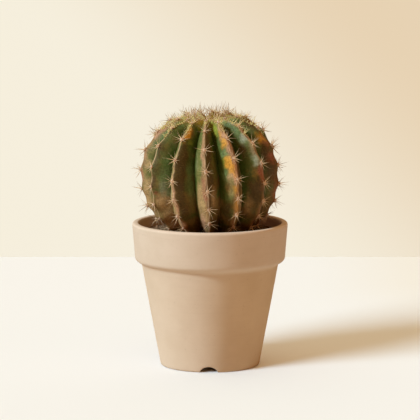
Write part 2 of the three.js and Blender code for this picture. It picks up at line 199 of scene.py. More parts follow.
# The blotches in front, for each rib. A blotch has how far it lies beside the crest in ribs, how
# far from the crown in millimetres, its half width in ribs, its half length in millimetres, its
# tone and its strength. Some stand partly for light and shade: the brown ones right of the crests
# are painted shade, the pale grey-green ones painted highlights, and the pale tan and pink ones
# low on ribs -2 to 0 painted light where the rim and the ribs cast shade.
BLOTCHES = {
    -5: (
        (0.00, 26, 0.25, 12, "tan", 0.9),
    ),
    -4: (
        (0.05, 30, 0.25, 14, "tan", 1.1), (0.10, 60, 0.20, 16, "tan", 0.8),
    ),
    -3: (
        (0.03, 23, 0.18, 8, "tan", 1.1), (0.28, 35, 0.12, 6, "green", 1.6),
        (0.08, 37, 0.15, 7, "pink", 1.2), (0.06, 46, 0.12, 7, "tan", 0.9),
        (0.20, 51, 0.10, 5, "olive", 1.0), (0.05, 57, 0.10, 6, "pink", 1.0),
        (0.20, 61, 0.10, 4, "tan", 1.1), (0.18, 68, 0.08, 4, "olive", 0.8),
        (0.06, 69, 0.10, 5, "rust", 0.45), (0.05, 72, 0.10, 7, "pink", 0.9),
        (0.03, 74, 0.06, 8, "rust", 0.3), (0.20, 76, 0.10, 8, "tan", 0.8),
        (0.12, 90, 0.18, 12, "tan", 0.8), (0.14, 97, 0.12, 7, "rust", 0.4),
        (0.06, 100, 0.18, 12, "tan", 0.8),
    ),
    -2: (
        (0.16, 22, 0.10, 4, "green", 1.0), (0.10, 31, 0.06, 5, "brown", 1.0),
        (0.32, 40, 0.10, 6, "green", 0.5), (0.09, 48, 0.07, 9, "brown", 1.2),
        (0.24, 48, 0.10, 5, "brown", 0.6), (0.30, 53, 0.08, 3, "green", 0.9),
        (0.20, 61, 0.12, 5, "brown", 0.7), (0.34, 66, 0.12, 8, "green", 1.4),
        (0.08, 70, 0.08, 10, "brown", 1.0), (0.22, 72, 0.10, 4, "olive", 0.7),
        (0.40, 74, 0.08, 6, "olive", 0.5), (0.30, 77, 0.11, 7, "bloom_and_highlight", 0.8),
        (0.36, 78, 0.12, 7, "green", 1.5), (0.10, 80, 0.08, 4, "rust", 0.9),
        (0.22, 86, 0.14, 7, "tan", 1.2), (0.30, 89, 0.06, 4, "brown", 0.7),
        (0.38, 93, 0.16, 10, "tan", 1.4), (0.13, 94, 0.05, 5, "rust", 0.5),
        (0.20, 98, 0.20, 7, "olive", 0.9), (0.42, 100, 0.06, 6, "brown", 0.8),
        (-0.05, 103, 0.16, 8, "tan", 0.9), (0.24, 104, 0.08, 5, "brown", 0.6),
        (0.20, 106, 0.12, 7, "tan", 1.0), (0.38, 108, 0.16, 7, "olive", 0.8),
        (0.00, 110, 0.14, 7, "tan", 1.0), (0.35, 110, 0.16, 8, "tan", 1.5),
        (0.36, 111, 0.12, 6, "pink", 1.0),
    ),
    -1: (
        (0.42, 16, 0.16, 7, "lime", 0.9), (0.34, 22, 0.10, 6, "green", 0.8),
        (0.08, 27, 0.08, 6, "tan", 1.0), (0.12, 31, 0.10, 6, "amber", 1.7),
        (0.28, 37, 0.10, 6, "lime", 0.6), (0.08, 43, 0.07, 8, "brown", 1.1),
        (0.20, 52, 0.14, 12, "brown", 1.3), (0.10, 60, 0.10, 9, "brown", 0.8),
        (-0.10, 62, 0.08, 16, "olive", 0.8), (0.40, 66, 0.10, 26, "green", 0.9),
        (-0.08, 70, 0.07, 24, "tan", 0.8), (0.14, 72, 0.12, 18, "brown", 1.6),
        (-0.16, 76, 0.08, 14, "bloom_and_highlight", 0.5), (-0.02, 76, 0.05, 10, "pink", 1.0),
        (-0.06, 78, 0.06, 12, "tan", 0.6), (0.03, 88, 0.05, 8, "pink", 1.0),
        (0.20, 92, 0.16, 12, "brown", 0.6), (0.30, 92, 0.12, 8, "rust", 0.25),
        (-0.04, 94, 0.08, 12, "tan", 0.7), (-0.06, 102, 0.14, 10, "tan", 1.2),
        (0.00, 107, 0.12, 9, "pink", 1.1), (0.28, 108, 0.16, 9, "olive", 0.6),
        (-0.10, 113, 0.16, 7, "tan", 1.0),
    ),
    0: (
        (0.00, 19, 0.12, 6, "tan", 0.7), (0.06, 26, 0.06, 12, "brown", 0.5),
        (-0.02, 28, 0.15, 14, "pink", 0.5), (-0.28, 40, 0.12, 16, "olive", 0.6),
        (0.15, 42, 0.08, 16, "brown", 1.0), (-0.02, 44, 0.10, 10, "brown", 0.3),
        (-0.05, 50, 0.08, 12, "pink", 0.9), (-0.30, 52, 0.10, 12, "bloom_and_highlight", 0.4),
        (-0.34, 60, 0.08, 18, "green", 0.5), (0.05, 60, 0.05, 20, "brown", 0.7),
        (-0.26, 66, 0.12, 14, "olive", 0.9), (0.16, 66, 0.12, 16, "brown", 0.7),
        (-0.08, 69, 0.10, 8, "pink", 0.7), (-0.09, 70, 0.07, 9, "rust", 0.8),
        (-0.20, 76, 0.12, 8, "tan", 1.2), (0.04, 78, 0.06, 12, "brown", 0.6),
        (0.14, 78, 0.10, 12, "brown", 0.7), (-0.04, 80, 0.10, 5, "pink", 0.8),
        (-0.03, 80, 0.07, 4, "rust", 0.7), (0.18, 81, 0.10, 10, "tan", 0.8),
        (-0.03, 84, 0.10, 12, "brown", 0.9), (-0.28, 86, 0.14, 10, "tan", 1.5),
        (0.16, 88, 0.12, 16, "brown", 0.6), (0.40, 90, 0.16, 12, "tan", 0.5),
        (-0.16, 96, 0.16, 10, "tan", 1.4), (-0.20, 100, 0.14, 7, "pink", 0.8),
        (-0.24, 106, 0.14, 7, "pink", 1.0),
    ),
    1: (
        (-0.46, 14, 0.14, 6, "lime", 1.2), (-0.38, 18, 0.10, 7, "lime", 1.5),
        (-0.30, 26, 0.10, 6, "lime", 1.1), (-0.16, 26, 0.10, 5, "tan", 0.8),
        (-0.22, 31, 0.06, 4, "amber", 0.9), (-0.07, 31, 0.07, 8, "pink", 1.2),
        (-0.16, 33, 0.13, 9, "pink", 1.0), (-0.21, 40, 0.10, 4, "amber", 1.3),
        (-0.05, 45, 0.09, 9, "pink", 1.3), (0.12, 46, 0.07, 24, "brown", 1.2),
        (-0.28, 48, 0.12, 3, "green", 1.4), (-0.33, 54, 0.07, 5, "lime", 0.9),
        (-0.22, 56, 0.10, 6, "amber", 1.6), (-0.15, 60, 0.13, 9, "pink", 0.9),
        (-0.11, 61, 0.08, 8, "pink", 0.9), (0.04, 61, 0.07, 10, "brown", 1.0),
        (-0.14, 62, 0.08, 4, "amber", 0.7), (-0.38, 66, 0.07, 6, "green", 1.2),
        (-0.26, 66, 0.09, 4, "tan", 0.8), (0.42, 70, 0.12, 14, "green", 0.5),
        (-0.24, 74, 0.14, 8, "tan", 0.6), (-0.12, 75, 0.09, 5, "amber", 0.8),
        (-0.26, 76, 0.10, 5, "olive", 1.0), (0.02, 76, 0.05, 14, "brown", 0.6),
        (-0.32, 82, 0.08, 4, "green", 0.6), (0.20, 86, 0.16, 14, "tan", 0.8),
        (-0.08, 87, 0.09, 6, "amber", 0.8), (-0.32, 93, 0.16, 8, "brown", 1.1),
        (-0.06, 96, 0.10, 8, "tan", 0.9),
    ),
    2: (
        (-0.30, 22, 0.10, 5, "green", 1.2), (-0.14, 23, 0.10, 4, "bloom_and_highlight", 0.8),
        (-0.24, 28, 0.08, 4, "green", 0.9), (-0.28, 33, 0.10, 5, "green", 0.9),
        (-0.08, 33, 0.12, 8, "pink", 1.1), (-0.10, 36, 0.08, 9, "tan", 0.8),
        (-0.21, 39, 0.10, 4, "bloom_and_highlight", 1.2), (-0.38, 46, 0.08, 8, "brown", 1.2),
        (-0.30, 47, 0.08, 4, "green", 0.3), (-0.18, 47, 0.10, 3, "brown", 0.5),
        (-0.15, 49, 0.10, 5, "bloom_and_highlight", 0.5), (-0.08, 49, 0.12, 9, "tan", 1.0),
        (-0.03, 51, 0.08, 6, "olive", 1.3), (0.14, 52, 0.12, 26, "brown", 1.4),
        (-0.19, 57, 0.11, 4, "bloom_and_highlight", 1.2), (-0.12, 66, 0.12, 6, "rust", 1.5),
        (-0.24, 67, 0.10, 5, "amber", 0.5), (-0.14, 78, 0.10, 4, "rust", 0.5),
        (-0.24, 82, 0.20, 13, "brown", 1.6), (-0.42, 92, 0.10, 10, "tan", 0.8),
        (-0.10, 92, 0.10, 10, "tan", 0.6),
    ),
    3: (
        (0.14, 26, 0.12, 6, "tan", 0.8), (-0.08, 30, 0.10, 6, "brown", 0.7),
        (-0.14, 34, 0.12, 5, "brown", 0.8), (-0.24, 35, 0.12, 6, "green", 0.6),
        (0.04, 40, 0.06, 10, "brown", 0.8), (-0.14, 45, 0.14, 5, "amber", 1.0),
        (-0.10, 50, 0.12, 4, "rust", 0.9), (-0.24, 51, 0.10, 4, "green", 0.9),
        (-0.24, 54, 0.10, 5, "brown", 0.8), (-0.20, 57, 0.14, 16, "brown", 0.6),
        (-0.12, 61, 0.12, 5, "rust", 1.2), (-0.24, 63, 0.12, 8, "brown", 0.9),
        (-0.16, 72, 0.14, 8, "rust", 0.3), (-0.16, 76, 0.20, 12, "brown", 0.8),
        (-0.10, 86, 0.12, 8, "rust", 0.8),
    ),
    4: (
        (0.00, 22, 0.20, 8, "amber", 0.6), (-0.05, 30, 0.20, 12, "tan", 0.9),
        (-0.05, 34, 0.20, 8, "brown", 0.8),
    ),
    5: (
        (0.00, 24, 0.25, 12, "olive", 1.0),
    ),
}
# Behind there are this many, drawn at random.
BACK_BLOTCHES = 64

# The stage. The lamps are cool, because what stands round the pot is warm.
KEY_COLOUR = (0.525, 0.760, 1.0)
KEY_WIDTH = 10  # degrees
FLOOR_KEY_COLOUR = (0.587, 0.812, 1.0)
FLOOR_KEY_WIDTH = 26  # degrees
FLOOR_KEY_SHARE = 0.875  # of the key's strength
FLOOR_SIDE = 3.5  # how far the floor reaches to each side and to the front
FLOOR_BACK = 0.481  # how far back its edge, the line behind the pot, lies
CAMERA_PLACE = (0, -2.2, 0.428)
CAMERA_TILT = 81.785  # degrees from straight down
WALL_CREAM, WALL_TAN = (0.92, 0.86, 0.72), (0.80, 0.645, 0.451)
WALL_TURN = (-0.141, -0.027)  # the sum of the direction's X and Z where cream turns to tan
# What the pot stands among, from each side: the axis, its sign and the colour of the light.
SURROUNDINGS = (
    ("X", 1, (0.26, 0.085, 0.01)),
    ("X", -1, (0.28, 0.25, 0.32)),
    ("Y", 1, (0.63, 0.45, 0.40)),
    ("Y", -1, (0.43, 0.135, 0.01)),
    ("Z", 1, (0.95, 0.80, 0.46)),
    ("Z", -1, (0.40, 0.30, 0.20)),
)


# Mesh making.


def link_mesh(name, mesh, material, slot, layers=None):
    """A new object at the origin with the given finish; if slot is set, it rides on the pot's body."""
    for layer, values in (layers or {}).items():
        attribute = mesh.attributes.new(layer, "FLOAT", "POINT")
        attribute.data.foreach_set("value", np.asarray(values, np.float32).ravel())
    mesh.materials.append(material)
    mesh.shade_smooth()
    piece = bpy.data.objects.new(name, mesh)
    bpy.context.scene.collection.objects.link(piece)
    if slot:
        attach(piece, "root")
    return piece


def mesh_from(name, points, faces):
    """A mesh from an array of points and a list of arrays of faces."""
    mesh = bpy.data.meshes.new(name)
    mesh.from_pydata(points.reshape(-1, 3).tolist(), [], [f for part in faces for f in part.tolist()])
    mesh.update()
    return mesh


def grid_faces(rows, columns, wrap_rows):
    """The four-sided faces of a grid whose columns run all the way round. Seen from outside, rows
    go down and columns go to the right."""
    row = np.arange(rows if wrap_rows else rows - 1)[:, None]
    column = np.arange(columns)[None, :]
    below, right = (row + 1) % rows, (column + 1) % columns
    corners = [row * columns + column, below * columns + column]
    corners += [below * columns + right, row * columns + right]
    return np.stack(np.broadcast_arrays(*corners), -1).reshape(-1, 4)


def ring(name, points, material, slot, layers=None):
    """One closed skin over a grid of points (rows, columns, 3) that joins up both ways."""
    rows, columns = points.shape[:2]
    mesh = mesh_from(name, points, [grid_faces(rows, columns, True)])
    return link_mesh(name, mesh, material, slot, layers)


def shells(name, rows, first, last, material, slot, layers=None):
    """Closed shells in one mesh. rows is (shells, rows, columns, 3), with columns that run round
    each shell; first and last, both (shells, 3), close it above its first row and below its last.
    A layer's values need only broadcast to (shells, rows, columns)."""
    count, height, columns = rows.shape[:3]
    size = height * columns + 2
    points = np.concatenate([rows.reshape(count, -1, 3), first[:, None], last[:, None]], 1)
    column = np.arange(columns)
    right = (column + 1) % columns
    bottom = (height - 1) * columns
    cap = np.stack([np.full(columns, size - 2), column, right], -1)
    foot = np.stack([np.full(columns, size - 1), bottom + right, bottom + column], -1)
    start = (np.arange(count) * size)[:, None, None]
    faces = [(part[None] + start).reshape(-1, part.shape[1])
             for part in (grid_faces(height, columns, False), cap, foot)]
    full = {}
    for layer, values in (layers or {}).items():
        values = np.broadcast_to(values, (count, height, columns))
        ends = [values[:, 0].mean(1)[:, None], values[:, -1].mean(1)[:, None]]
        full[layer] = np.concatenate([values.reshape(count, -1), *ends], 1)
    return link_mesh(name, mesh_from(name, points, faces), material, slot, full)


def unit(vectors):
    """The vectors at length one."""
    return vectors / np.linalg.norm(vectors, axis=-1, keepdims=True)


def across_pair(direction):
    """Two unit vectors square to each direction and to each other, which turn to the right about it."""
    least = np.eye(3)[np.argmin(np.abs(direction), axis=-1)]
    one = unit(np.cross(direction, least))
    return one, np.cross(direction, one)


def strands(name, start, direction, bend, length, width, tint, material, slot, rings, sides, taper):
    """Tapered hairs. A hair's middle line is start + length * (t * direction + t * t * bend), for t
    from 0 at its root to 1 at its tip, and its radius is width * (1 - t) ** taper."""
    t = np.linspace(1, 0, rings + 1)[1:]
    turn = np.linspace(0, 2 * np.pi, sides, endpoint=False)
    one, two = across_pair(direction)
    length = length[:, None, None]
    line = start[:, None] + length * (t[None, :, None] * direction[:, None]
                                      + (t * t)[None, :, None] * bend[:, None])
    radius = (width[:, None] * (1 - t[None]) ** taper)[:, :, None, None]
    round_it = (np.cos(turn)[None, None, :, None] * one[:, None, None]
                + np.sin(turn)[None, None, :, None] * two[:, None, None])
    rows = line[:, :, None] + radius * round_it
    tip = start + length[:, 0] * (direction + bend)
    layers = {"along": t[:, None], "tint": tint[:, None, None]}
    return shells(name, rows, tip, start, material, slot, layers)


def lumps(name, centre, out, side, size, random, material, slot, rough, rings, sides):
    """Round lumps. A lump's point is centre + s * size * (cos(a) * (cos(b) * side + sin(b) * aside)
    + sin(a) * out), with a its latitude, b its longitude, and s close to 1 and drawn for each."""
    count = len(centre)
    a = np.linspace(0.5, -0.5, rings + 2)[1:-1] * np.pi
    b = np.linspace(0, 2 * np.pi, sides, endpoint=False)
    aside = np.cross(out, side)
    s = 1 + rough * random.uniform(-1, 1, (count, rings, sides, 1))
    flat = (np.cos(b)[None, None, :, None] * (side * size[:, :1])[:, None, None]
            + np.sin(b)[None, None, :, None] * (aside * size[:, 1:2])[:, None, None])
    high = np.sin(a)[None, :, None, None] * (out * size[:, 2:])[:, None, None]
    rows = centre[:, None, None] + s * (np.cos(a)[None, :, None, None] * flat + high)
    tint = random.uniform(0, 1, (count, 1, 1))
    top, foot = centre + out * size[:, 2:], centre - out * size[:, 2:]
    return shells(name, rows, top, foot, material, slot, {"tint": tint})


def waves(place, size, count, seed):
    """A smooth uneven field from -1 to 1: the mean of count sine waves that run in random
    directions, each about size long, scaled up by the root of their number."""
    random = np.random.default_rng(seed)
    field = 0
    for _ in range(count):
        way = unit(random.normal(size=3)) * 2 * np.pi / (size * random.uniform(0.7, 1.4))
        field = field + np.sin(place @ way + random.uniform(0, 2 * np.pi))
    return np.clip(field / math.sqrt(count), -1.6, 1.6) / 1.6


# The pot's form.


def body_radius(z):
    """The wall's outer radius under the band."""
    return FOOT_RADIUS + BODY_TAPER * z


def band_radius(z, height, rim_radius):
    """The band's outer radius."""
    return rim_radius - BAND_TAPER * (height - LIP_ROUND - z)


def inner_radius(z, height):
    """The wall's inner radius."""
    return INNER_RIM_RADIUS - INNER_TAPER * (height - z)


def rounded(corners, rounds, steps=6):
    """A closed section whose corners are rounded: each gives way to the quadratic curve that has
    it as its middle point, and starts and ends rounds away from it."""
    here = np.array(corners)
    reach = np.array(rounds)[:, None]
    start = here + reach * unit(np.roll(here, 1, 0) - here)
    end = here + reach * unit(np.roll(here, -1, 0) - here)
    t = np.linspace(0, 1, steps)[None, :, None]
    curve = (1 - t) ** 2 * start[:, None] + 2 * t * (1 - t) * here[:, None] + t * t * end[:, None]
    return curve.reshape(-1, 2)


def evenly(section, step):
    """The closed section with more points, so that none are further apart than step."""
    ahead = np.roll(section, -1, 0)
    pieces = np.ceil(np.linalg.norm(ahead - section, axis=1) / step).astype(int)
    parts = [a + (b - a) * np.arange(n)[:, None] / n for a, b, n in zip(section, ahead, pieces)]
    return np.concatenate(parts)


def pot_section(height, rim_radius):
    """The pot's section as (radius, z): down the outside, in under the foot, up the drain hole,
    across the floor and up the inside."""
    corners = [
        ((band_radius(height, height, rim_radius), height), LIP_ROUND),
        ((band_radius(BAND_BOTTOM_Z, height, rim_radius), BAND_BOTTOM_Z), BAND_CORNER_ROUND),
        ((body_radius(BODY_TOP_Z), BODY_TOP_Z), NECK_ROUND),
        ((FOOT_RADIUS, 0), FOOT_ROUND),
        ((FOOT_INNER_RADIUS, 0), SMALL_ROUND),
        ((FOOT_INNER_RADIUS - FOOT_INNER_SLOPE, RECESS_DEPTH), SMALL_ROUND),
        ((DRAIN_RADIUS, RECESS_DEPTH), SMALL_ROUND),
        ((DRAIN_RADIUS, FLOOR_TOP_Z), SMALL_ROUND),
        ((inner_radius(FLOOR_TOP_Z, height), FLOOR_TOP_Z), FLOOR_BEVEL),
        ((INNER_RIM_RADIUS, height), INNER_LIP_ROUND),
    ]
    return evenly(rounded([c for c, _ in corners], [r for _, r in corners]), POT_ROW_STEP)


def notch_angles():
    """Where the drain notches stand round the foot, in radians."""
    return np.radians(FRONT_NOTCH_ANGLE) + np.arange(NOTCHES) * 2 * np.pi / NOTCHES


def pot_columns():
    """The columns' angles, which stand closer together round the notches: their density is 1 plus
    a bell curve about each notch."""
    fine = np.linspace(0, 2 * np.pi, 7201)
    density = np.ones_like(fine)
    for notch in notch_angles():
        off = np.angle(np.exp(1j * (fine - notch)))
        density += NOTCH_CROWDING * np.exp(-((off / NOTCH_CROWDING_WIDTH) ** 2))
    travelled = np.concatenate([[0], np.cumsum((density[1:] + density[:-1]) / 2)])
    return np.interp(np.arange(POT_COLUMNS) / POT_COLUMNS, travelled / travelled[-1], fine)


def notched(radius, z, angle):
    """The foot with its notches. Each notch is the arch sqrt(R * R - s * s) - (R - h), with R the
    round, h the height and s the distance beside its middle line. Under the foot a point rises to
    the arch; on the wall it rises by the arch times (1 - z / fade), and moves out with the taper."""
    arch = np.zeros_like(radius)
    for notch in notch_angles():
        aside, ahead = radius * np.sin(angle - notch), radius * np.cos(angle - notch)
        high = np.sqrt(np.maximum(NOTCH_ROUND**2 - aside**2, 0)) - (NOTCH_ROUND - NOTCH_HEIGHT)
        inside = ahead > FOOT_INNER_RADIUS - NOTCH_REACH
        arch = np.maximum(arch, np.where(inside, high, 0))
    wall = radius > FOOT_RADIUS - FOOT_ROUND - 1e-6
    raised = z + arch * np.maximum(1 - z / NOTCH_FADE, 0)
    lifted = np.where(wall, raised, np.where(z < RECESS_DEPTH + 1e-6, np.maximum(z, arch), z))
    return radius + np.where(wall, BODY_TAPER * (lifted - z), 0), lifted


def inside_layer(radius, z, height):
    """How far a point of the pot lies on its inside, from 0 to 1. It fades out over the last 3 mm
    below the lip, and is 0 under the floor."""
    inside = np.clip((inner_radius(z, height) + 1.2 * MM - radius) / MM, 0, 1)
    return inside * np.clip((height + 0.2 * MM - z) / (3 * MM), 0, 1) * (z > FLOOR_TOP_Z - MM)


def pot_points(height, rim_radius):
    """The pot's grid: its section turned round the Z axis, with a slight wobble, and notched. With
    it comes how far each point lies on the inside, from 0 to 1."""
    section = pot_section(height, rim_radius)
    angle = pot_columns()[None, :]
    radius = np.repeat(section[:, :1], angle.size, 1)
    z = np.repeat(section[:, 1:], angle.size, 1)
    inside = inside_layer(radius, z, height)
    wobble = POT_WOBBLE * np.sin(2 * angle + 0.9 + 9 * z / height) * np.clip(z / height, 0, 1)
    radius, z = notched(radius + wobble * (z < height - 3 * MM), z, angle)
    return np.stack([radius * np.sin(angle), -radius * np.cos(angle), z], -1), inside


# The globe's form.


def outline(share):
    """The globe's side view at a share of the way from top to bottom, as radius and height: an
    oval with the exponent GLOBE_SQUARENESS, less a bell-shaped dip at the growing point."""
    angle = np.pi * (0.5 - share)
    power = 2 / GLOBE_SQUARENESS
    reach = np.where(angle >= 0, GLOBE_ABOVE, GLOBE_BELOW)
    radius = GLOBE_RADIUS * np.abs(np.cos(angle)) ** power
    radius = np.where((share <= 0) | (share >= 1), 0, radius)
    dip = np.where(angle > 0, CROWN_DIP * np.exp(-((radius / CROWN_DIP_RADIUS) ** 2)), 0)
    return radius, reach * np.abs(np.sin(angle)) ** power * np.sign(angle) - dip


SHARES = np.linspace(0, 1, 1201)
TRAVELLED = np.concatenate([[0], np.cumsum(np.hypot(*(np.diff(v) for v in outline(SHARES))))])


def pad_distance(n):
    """How far along its rib the n-th pad stands from the growing point."""
    grown = FIRST_PAD + PAD_STEP * n - PAD_STEP_LOSS * n * n
    return np.where(n < 0, FIRST_PAD * np.exp(CROWN_SHARE * n), grown)


def pad_number(distance):
    """The n that belongs to a distance, the other way round."""
    young = np.log(np.maximum(distance, MM) / FIRST_PAD) / CROWN_SHARE
    left = np.maximum(PAD_STEP**2 - 4 * PAD_STEP_LOSS * (distance - FIRST_PAD), 0)
    return np.where(distance < FIRST_PAD, young, (PAD_STEP - np.sqrt(left)) / (2 * PAD_STEP_LOSS))


def pad_offset(rib):
    """Every other rib, counted from the front one, has its pads half a step on."""
    number = rib - RIBS * np.round(rib / RIBS)
    return np.where(np.abs(number) % 2 == 0, 0.5, 0)


def leaning(points):
    """Takes points from the globe's own frame to the pot's: forward, then left, then up."""
    a, b = math.radians(LEAN_FORWARD), math.radians(-LEAN_LEFT)
    forward = np.array([[1, 0, 0], [0, math.cos(a), -math.sin(a)], [0, math.sin(a), math.cos(a)]])
    left = np.array([[math.cos(b), 0, math.sin(b)], [0, 1, 0], [-math.sin(b), 0, math.cos(b)]])
    return points @ (left @ forward).T + np.array([0, 0, GLOBE_CENTRE_Z])


def shift(across):
    """How far to the right of its even place a rib stands, in ribs, taken evenly from each crest
    to the next."""
    number = across - RIBS * np.round(across / RIBS)
    return np.interp(number, SHIFTED_RIBS, RIB_SHIFTS) * RIBS / 360


def behind(turn, distance):
    """How far a point belongs to the crown's back: half of 1 - cos(turn), which is 1 behind and 0
    in front, times a bell curve of the distance."""
    return (1 - np.cos(turn)) / 2 * np.exp(-((distance / BACK_REACH) ** 2))


def rib_angle(across, distance):
    """The angle round the globe: even steps from rib to rib, with a slow wave along each rib, the
    ribs' shifts and a twist behind the crown."""
    turn = 2 * np.pi * across / RIBS
    wander = np.sin(distance / MEANDER_LENGTH + 3.7 * np.sin(turn) + 1.9 * np.cos(2 * turn))
    angle = math.radians(FRONT_RIB_ANGLE) + turn + math.radians(MEANDER) * wander
    angle = angle + 2 * np.pi * shift(across) / RIBS
    return angle + math.radians(BACK_TWIST) * behind(turn, distance)


def inset(across, distance, radius, depth):
    """How far the skin lies inside the outline: depth * (r / R) ** FURROW_POWER * flank(q), with q
    0 on a crest and 1 in a furrow, less deep low down and behind the crown, where the whole skin
    sinks a little. A wave that peaks at each pad is taken off."""
    rib = np.round(across)
    q = np.abs(across - rib) * 2
    soft = np.hypot(q, CREST_SOFTNESS) - CREST_SOFTNESS
    flank = (soft / (math.hypot(1, CREST_SOFTNESS) - CREST_SOFTNESS)) ** FLANK_POWER
    back = behind(2 * np.pi * across / RIBS, distance)
    shallow = 1 - LOW_SHALLOWNESS * np.clip((distance - LOW_START) / LOW_FADE, 0, 1)
    shallow = shallow - BACK_SHALLOWNESS * back
    furrow = depth * shallow * (radius / GLOBE_RADIUS) ** FURROW_POWER * flank
    wave = np.cos(2 * np.pi * (pad_number(distance) - pad_offset(rib)))
    swell = PAD_SWELL * wave * np.minimum(1, radius / SWELL_RADIUS) * (1 - q * q)
    return furrow + BACK_SINK * back - swell


def skin(across, distance, depth, grow=0.0):
    """A point of the skin. across counts ribs round the globe, whole numbers being crests and
    halves furrows; distance is measured along the outline from the growing point. The outline is
    moved in along its own normal by the inset and out by grow, and turned to the rib's angle."""
    share = np.interp(distance, TRAVELLED, SHARES)
    radius, height = outline(share)
    below = outline(np.minimum(share + SLOPE_STEP, 1))
    above = outline(np.maximum(share - SLOPE_STEP, 0))
    along = unit(np.stack([below[0] - above[0], below[1] - above[1]], -1))
    inward = inset(across, distance, radius, depth) - grow
    angle = rib_angle(across, distance)
    radius = np.where(radius > 0, radius + along[..., 1] * inward, 0)
    height = height - along[..., 0] * inward
    return leaning(np.stack([radius * np.sin(angle), -radius * np.cos(angle), height], -1))


def skin_columns():
    """The columns' places in ribs, which stand closer together at crests and furrows."""
    u = np.arange(-SKIN_COLUMNS_PER_RIB // 2, SKIN_COLUMNS_PER_RIB // 2) / SKIN_COLUMNS_PER_RIB
    u = u - COLUMN_CROWDING * np.sin(4 * np.pi * u)
    return (np.arange(RIBS)[:, None] + u[None]).ravel()


def skin_rows():
    """The rows' distances from the growing point: close together as far as the soil, then few."""
    last = TRAVELLED[-1] - POLE_GAP
    return np.concatenate([np.arange(POLE_GAP, FINE_SKIN_LENGTH, SKIN_ROW_STEP),
                           np.linspace(FINE_SKIN_LENGTH, last, COARSE_SKIN_ROWS)])


def dents(across, place):
    """Shallow dents in the flanks: an uneven field that fades out at the crests and furrows."""
    q = np.abs(across - np.round(across)) * 2
    flank = np.clip(q * 3, 0, 1) * np.clip((1 - q) * 4, 0, 1)
    return DENT * flank * waves(place, 15 * MM, count=12, seed=3)


def crossing(values, level_at):
    """For each column, how far along its rows values first falls below level_at, in rows."""
    below = values < level_at
    row = np.maximum(np.argmax(below, axis=0), 1)
    column = np.arange(values.shape[1])
    gap = values - level_at
    high, low = gap[row - 1, column], gap[row, column]
    return row - 1 + high / (high - low)


def pads(depth):
    """Every pad of every rib: its rib, n and place, with its outward, downward and side directions."""
    ribs = np.arange(RIBS) - RIBS // 2
    rib, n = np.meshgrid(ribs, np.arange(math.floor(YOUNGEST_PAD), 8), indexing="ij")
    rib = rib.ravel().astype(float)
    n = n.ravel() + pad_offset(rib)
    distance = pad_distance(n)
    place = skin(rib, distance, depth)
    down = unit(skin(rib, distance + 0.4 * MM, depth) - skin(rib, distance - 0.4 * MM, depth))
    side = skin(rib + 0.02, distance, depth) - skin(rib - 0.02, distance, depth)
    side = unit(side - down * (side * down).sum(-1, keepdims=True))
    kept = (n >= YOUNGEST_PAD) & (place[:, 2] > SOIL_TOP_Z + LOWEST_PAD_ABOVE_SOIL)
    return [v[kept] for v in (rib, n, place, np.cross(down, side), down, side)]


def spine_tilt(central, young):
    """The usual angle between a spine and its pad's outward direction: central ones stand nearly
    upright, and young ones more upright than old ones."""
    old_tilt = np.where(central, CENTRAL_TILT, SIDE_TILT)
    young_tilt = np.where(central, YOUNG_CENTRAL_TILT, YOUNG_SIDE_TILT)
    return np.radians(old_tilt * (1 - young) + young_tilt * young)


def clear_of_soil(start, way, bend, length):
    """Bends spines up in place, so that their tips stay above the soil."""
    tip_z = (start + length[:, None] * (way + bend))[:, 2]
    bend[:, 2] += np.maximum(SOIL_TOP_Z + SPINE_ABOVE_SOIL - tip_z, 0) / length


def bronze_and_shade_layer(across, distance, place):
    """How far the skin has turned bronze: more on each rib's right flank, beside its crest, on the
    plant's right side and towards the soil, less in the furrows and the crown. The share on the
    right flanks and on the plant's right side, away from the key, is partly painted shade."""
    off = (across - np.round(across)) * 2
    right = np.clip(off / 0.14, -1, 1)
    low = np.clip((distance - 58 * MM) / (50 * MM), 0, 1)
    shoulder = np.exp(-((off / 0.2) ** 2))
    uneven = waves(place, 13 * MM, count=12, seed=9)
    # Partly painted shade: more bronze on the right flanks and the plant's right side, away from the
    # key.
    bronze = 0.2 + 0.3 * right * (1 - 0.5 * low) + 0.55 * low + 0.25 * shoulder
    bronze = bronze + 0.3 * np.clip(place[..., 0] / (40 * MM), -0.5, 1)
    bronze = bronze + 0.5 * uneven - 0.35 * np.abs(off) * (1 - low)
    return np.clip(bronze, -0.3, 1.1) * np.clip(distance / (26 * MM), 0, 1)


def cork_layer(across, distance, place):
    """How corky the skin is: a bell curve across each crest, whose half width wanders between
    narrow and wide. It is greater low down, left of the crest and towards the crown, and less on
    the two ribs left of the front one. Its width on the crest's lit left side and its narrowness on
    the shaded right side are partly painted light and shade."""
    off = across - np.round(across)
    beside = across + 1.5 - RIBS * np.round((across + 1.5) / RIBS)
    low = np.clip((distance - 50 * MM) / (50 * MM), 0, 1)
    wander = waves(place, 11 * MM, count=12, seed=17)
    # Partly painted light and shade: wider on the crest's lit left side, narrower on its shaded right.
    wide = 0.045 + 0.03 * wander + 0.015 * low + (0.04 + 0.02 * low) * (off < 0)
    wide = wide * (1 - 0.5 * np.exp(-(beside**4)))
    wide = wide + 0.15 * np.exp(-((distance / (24 * MM)) ** 2))
    return np.exp(-((off / np.maximum(wide, 0.02)) ** 2))


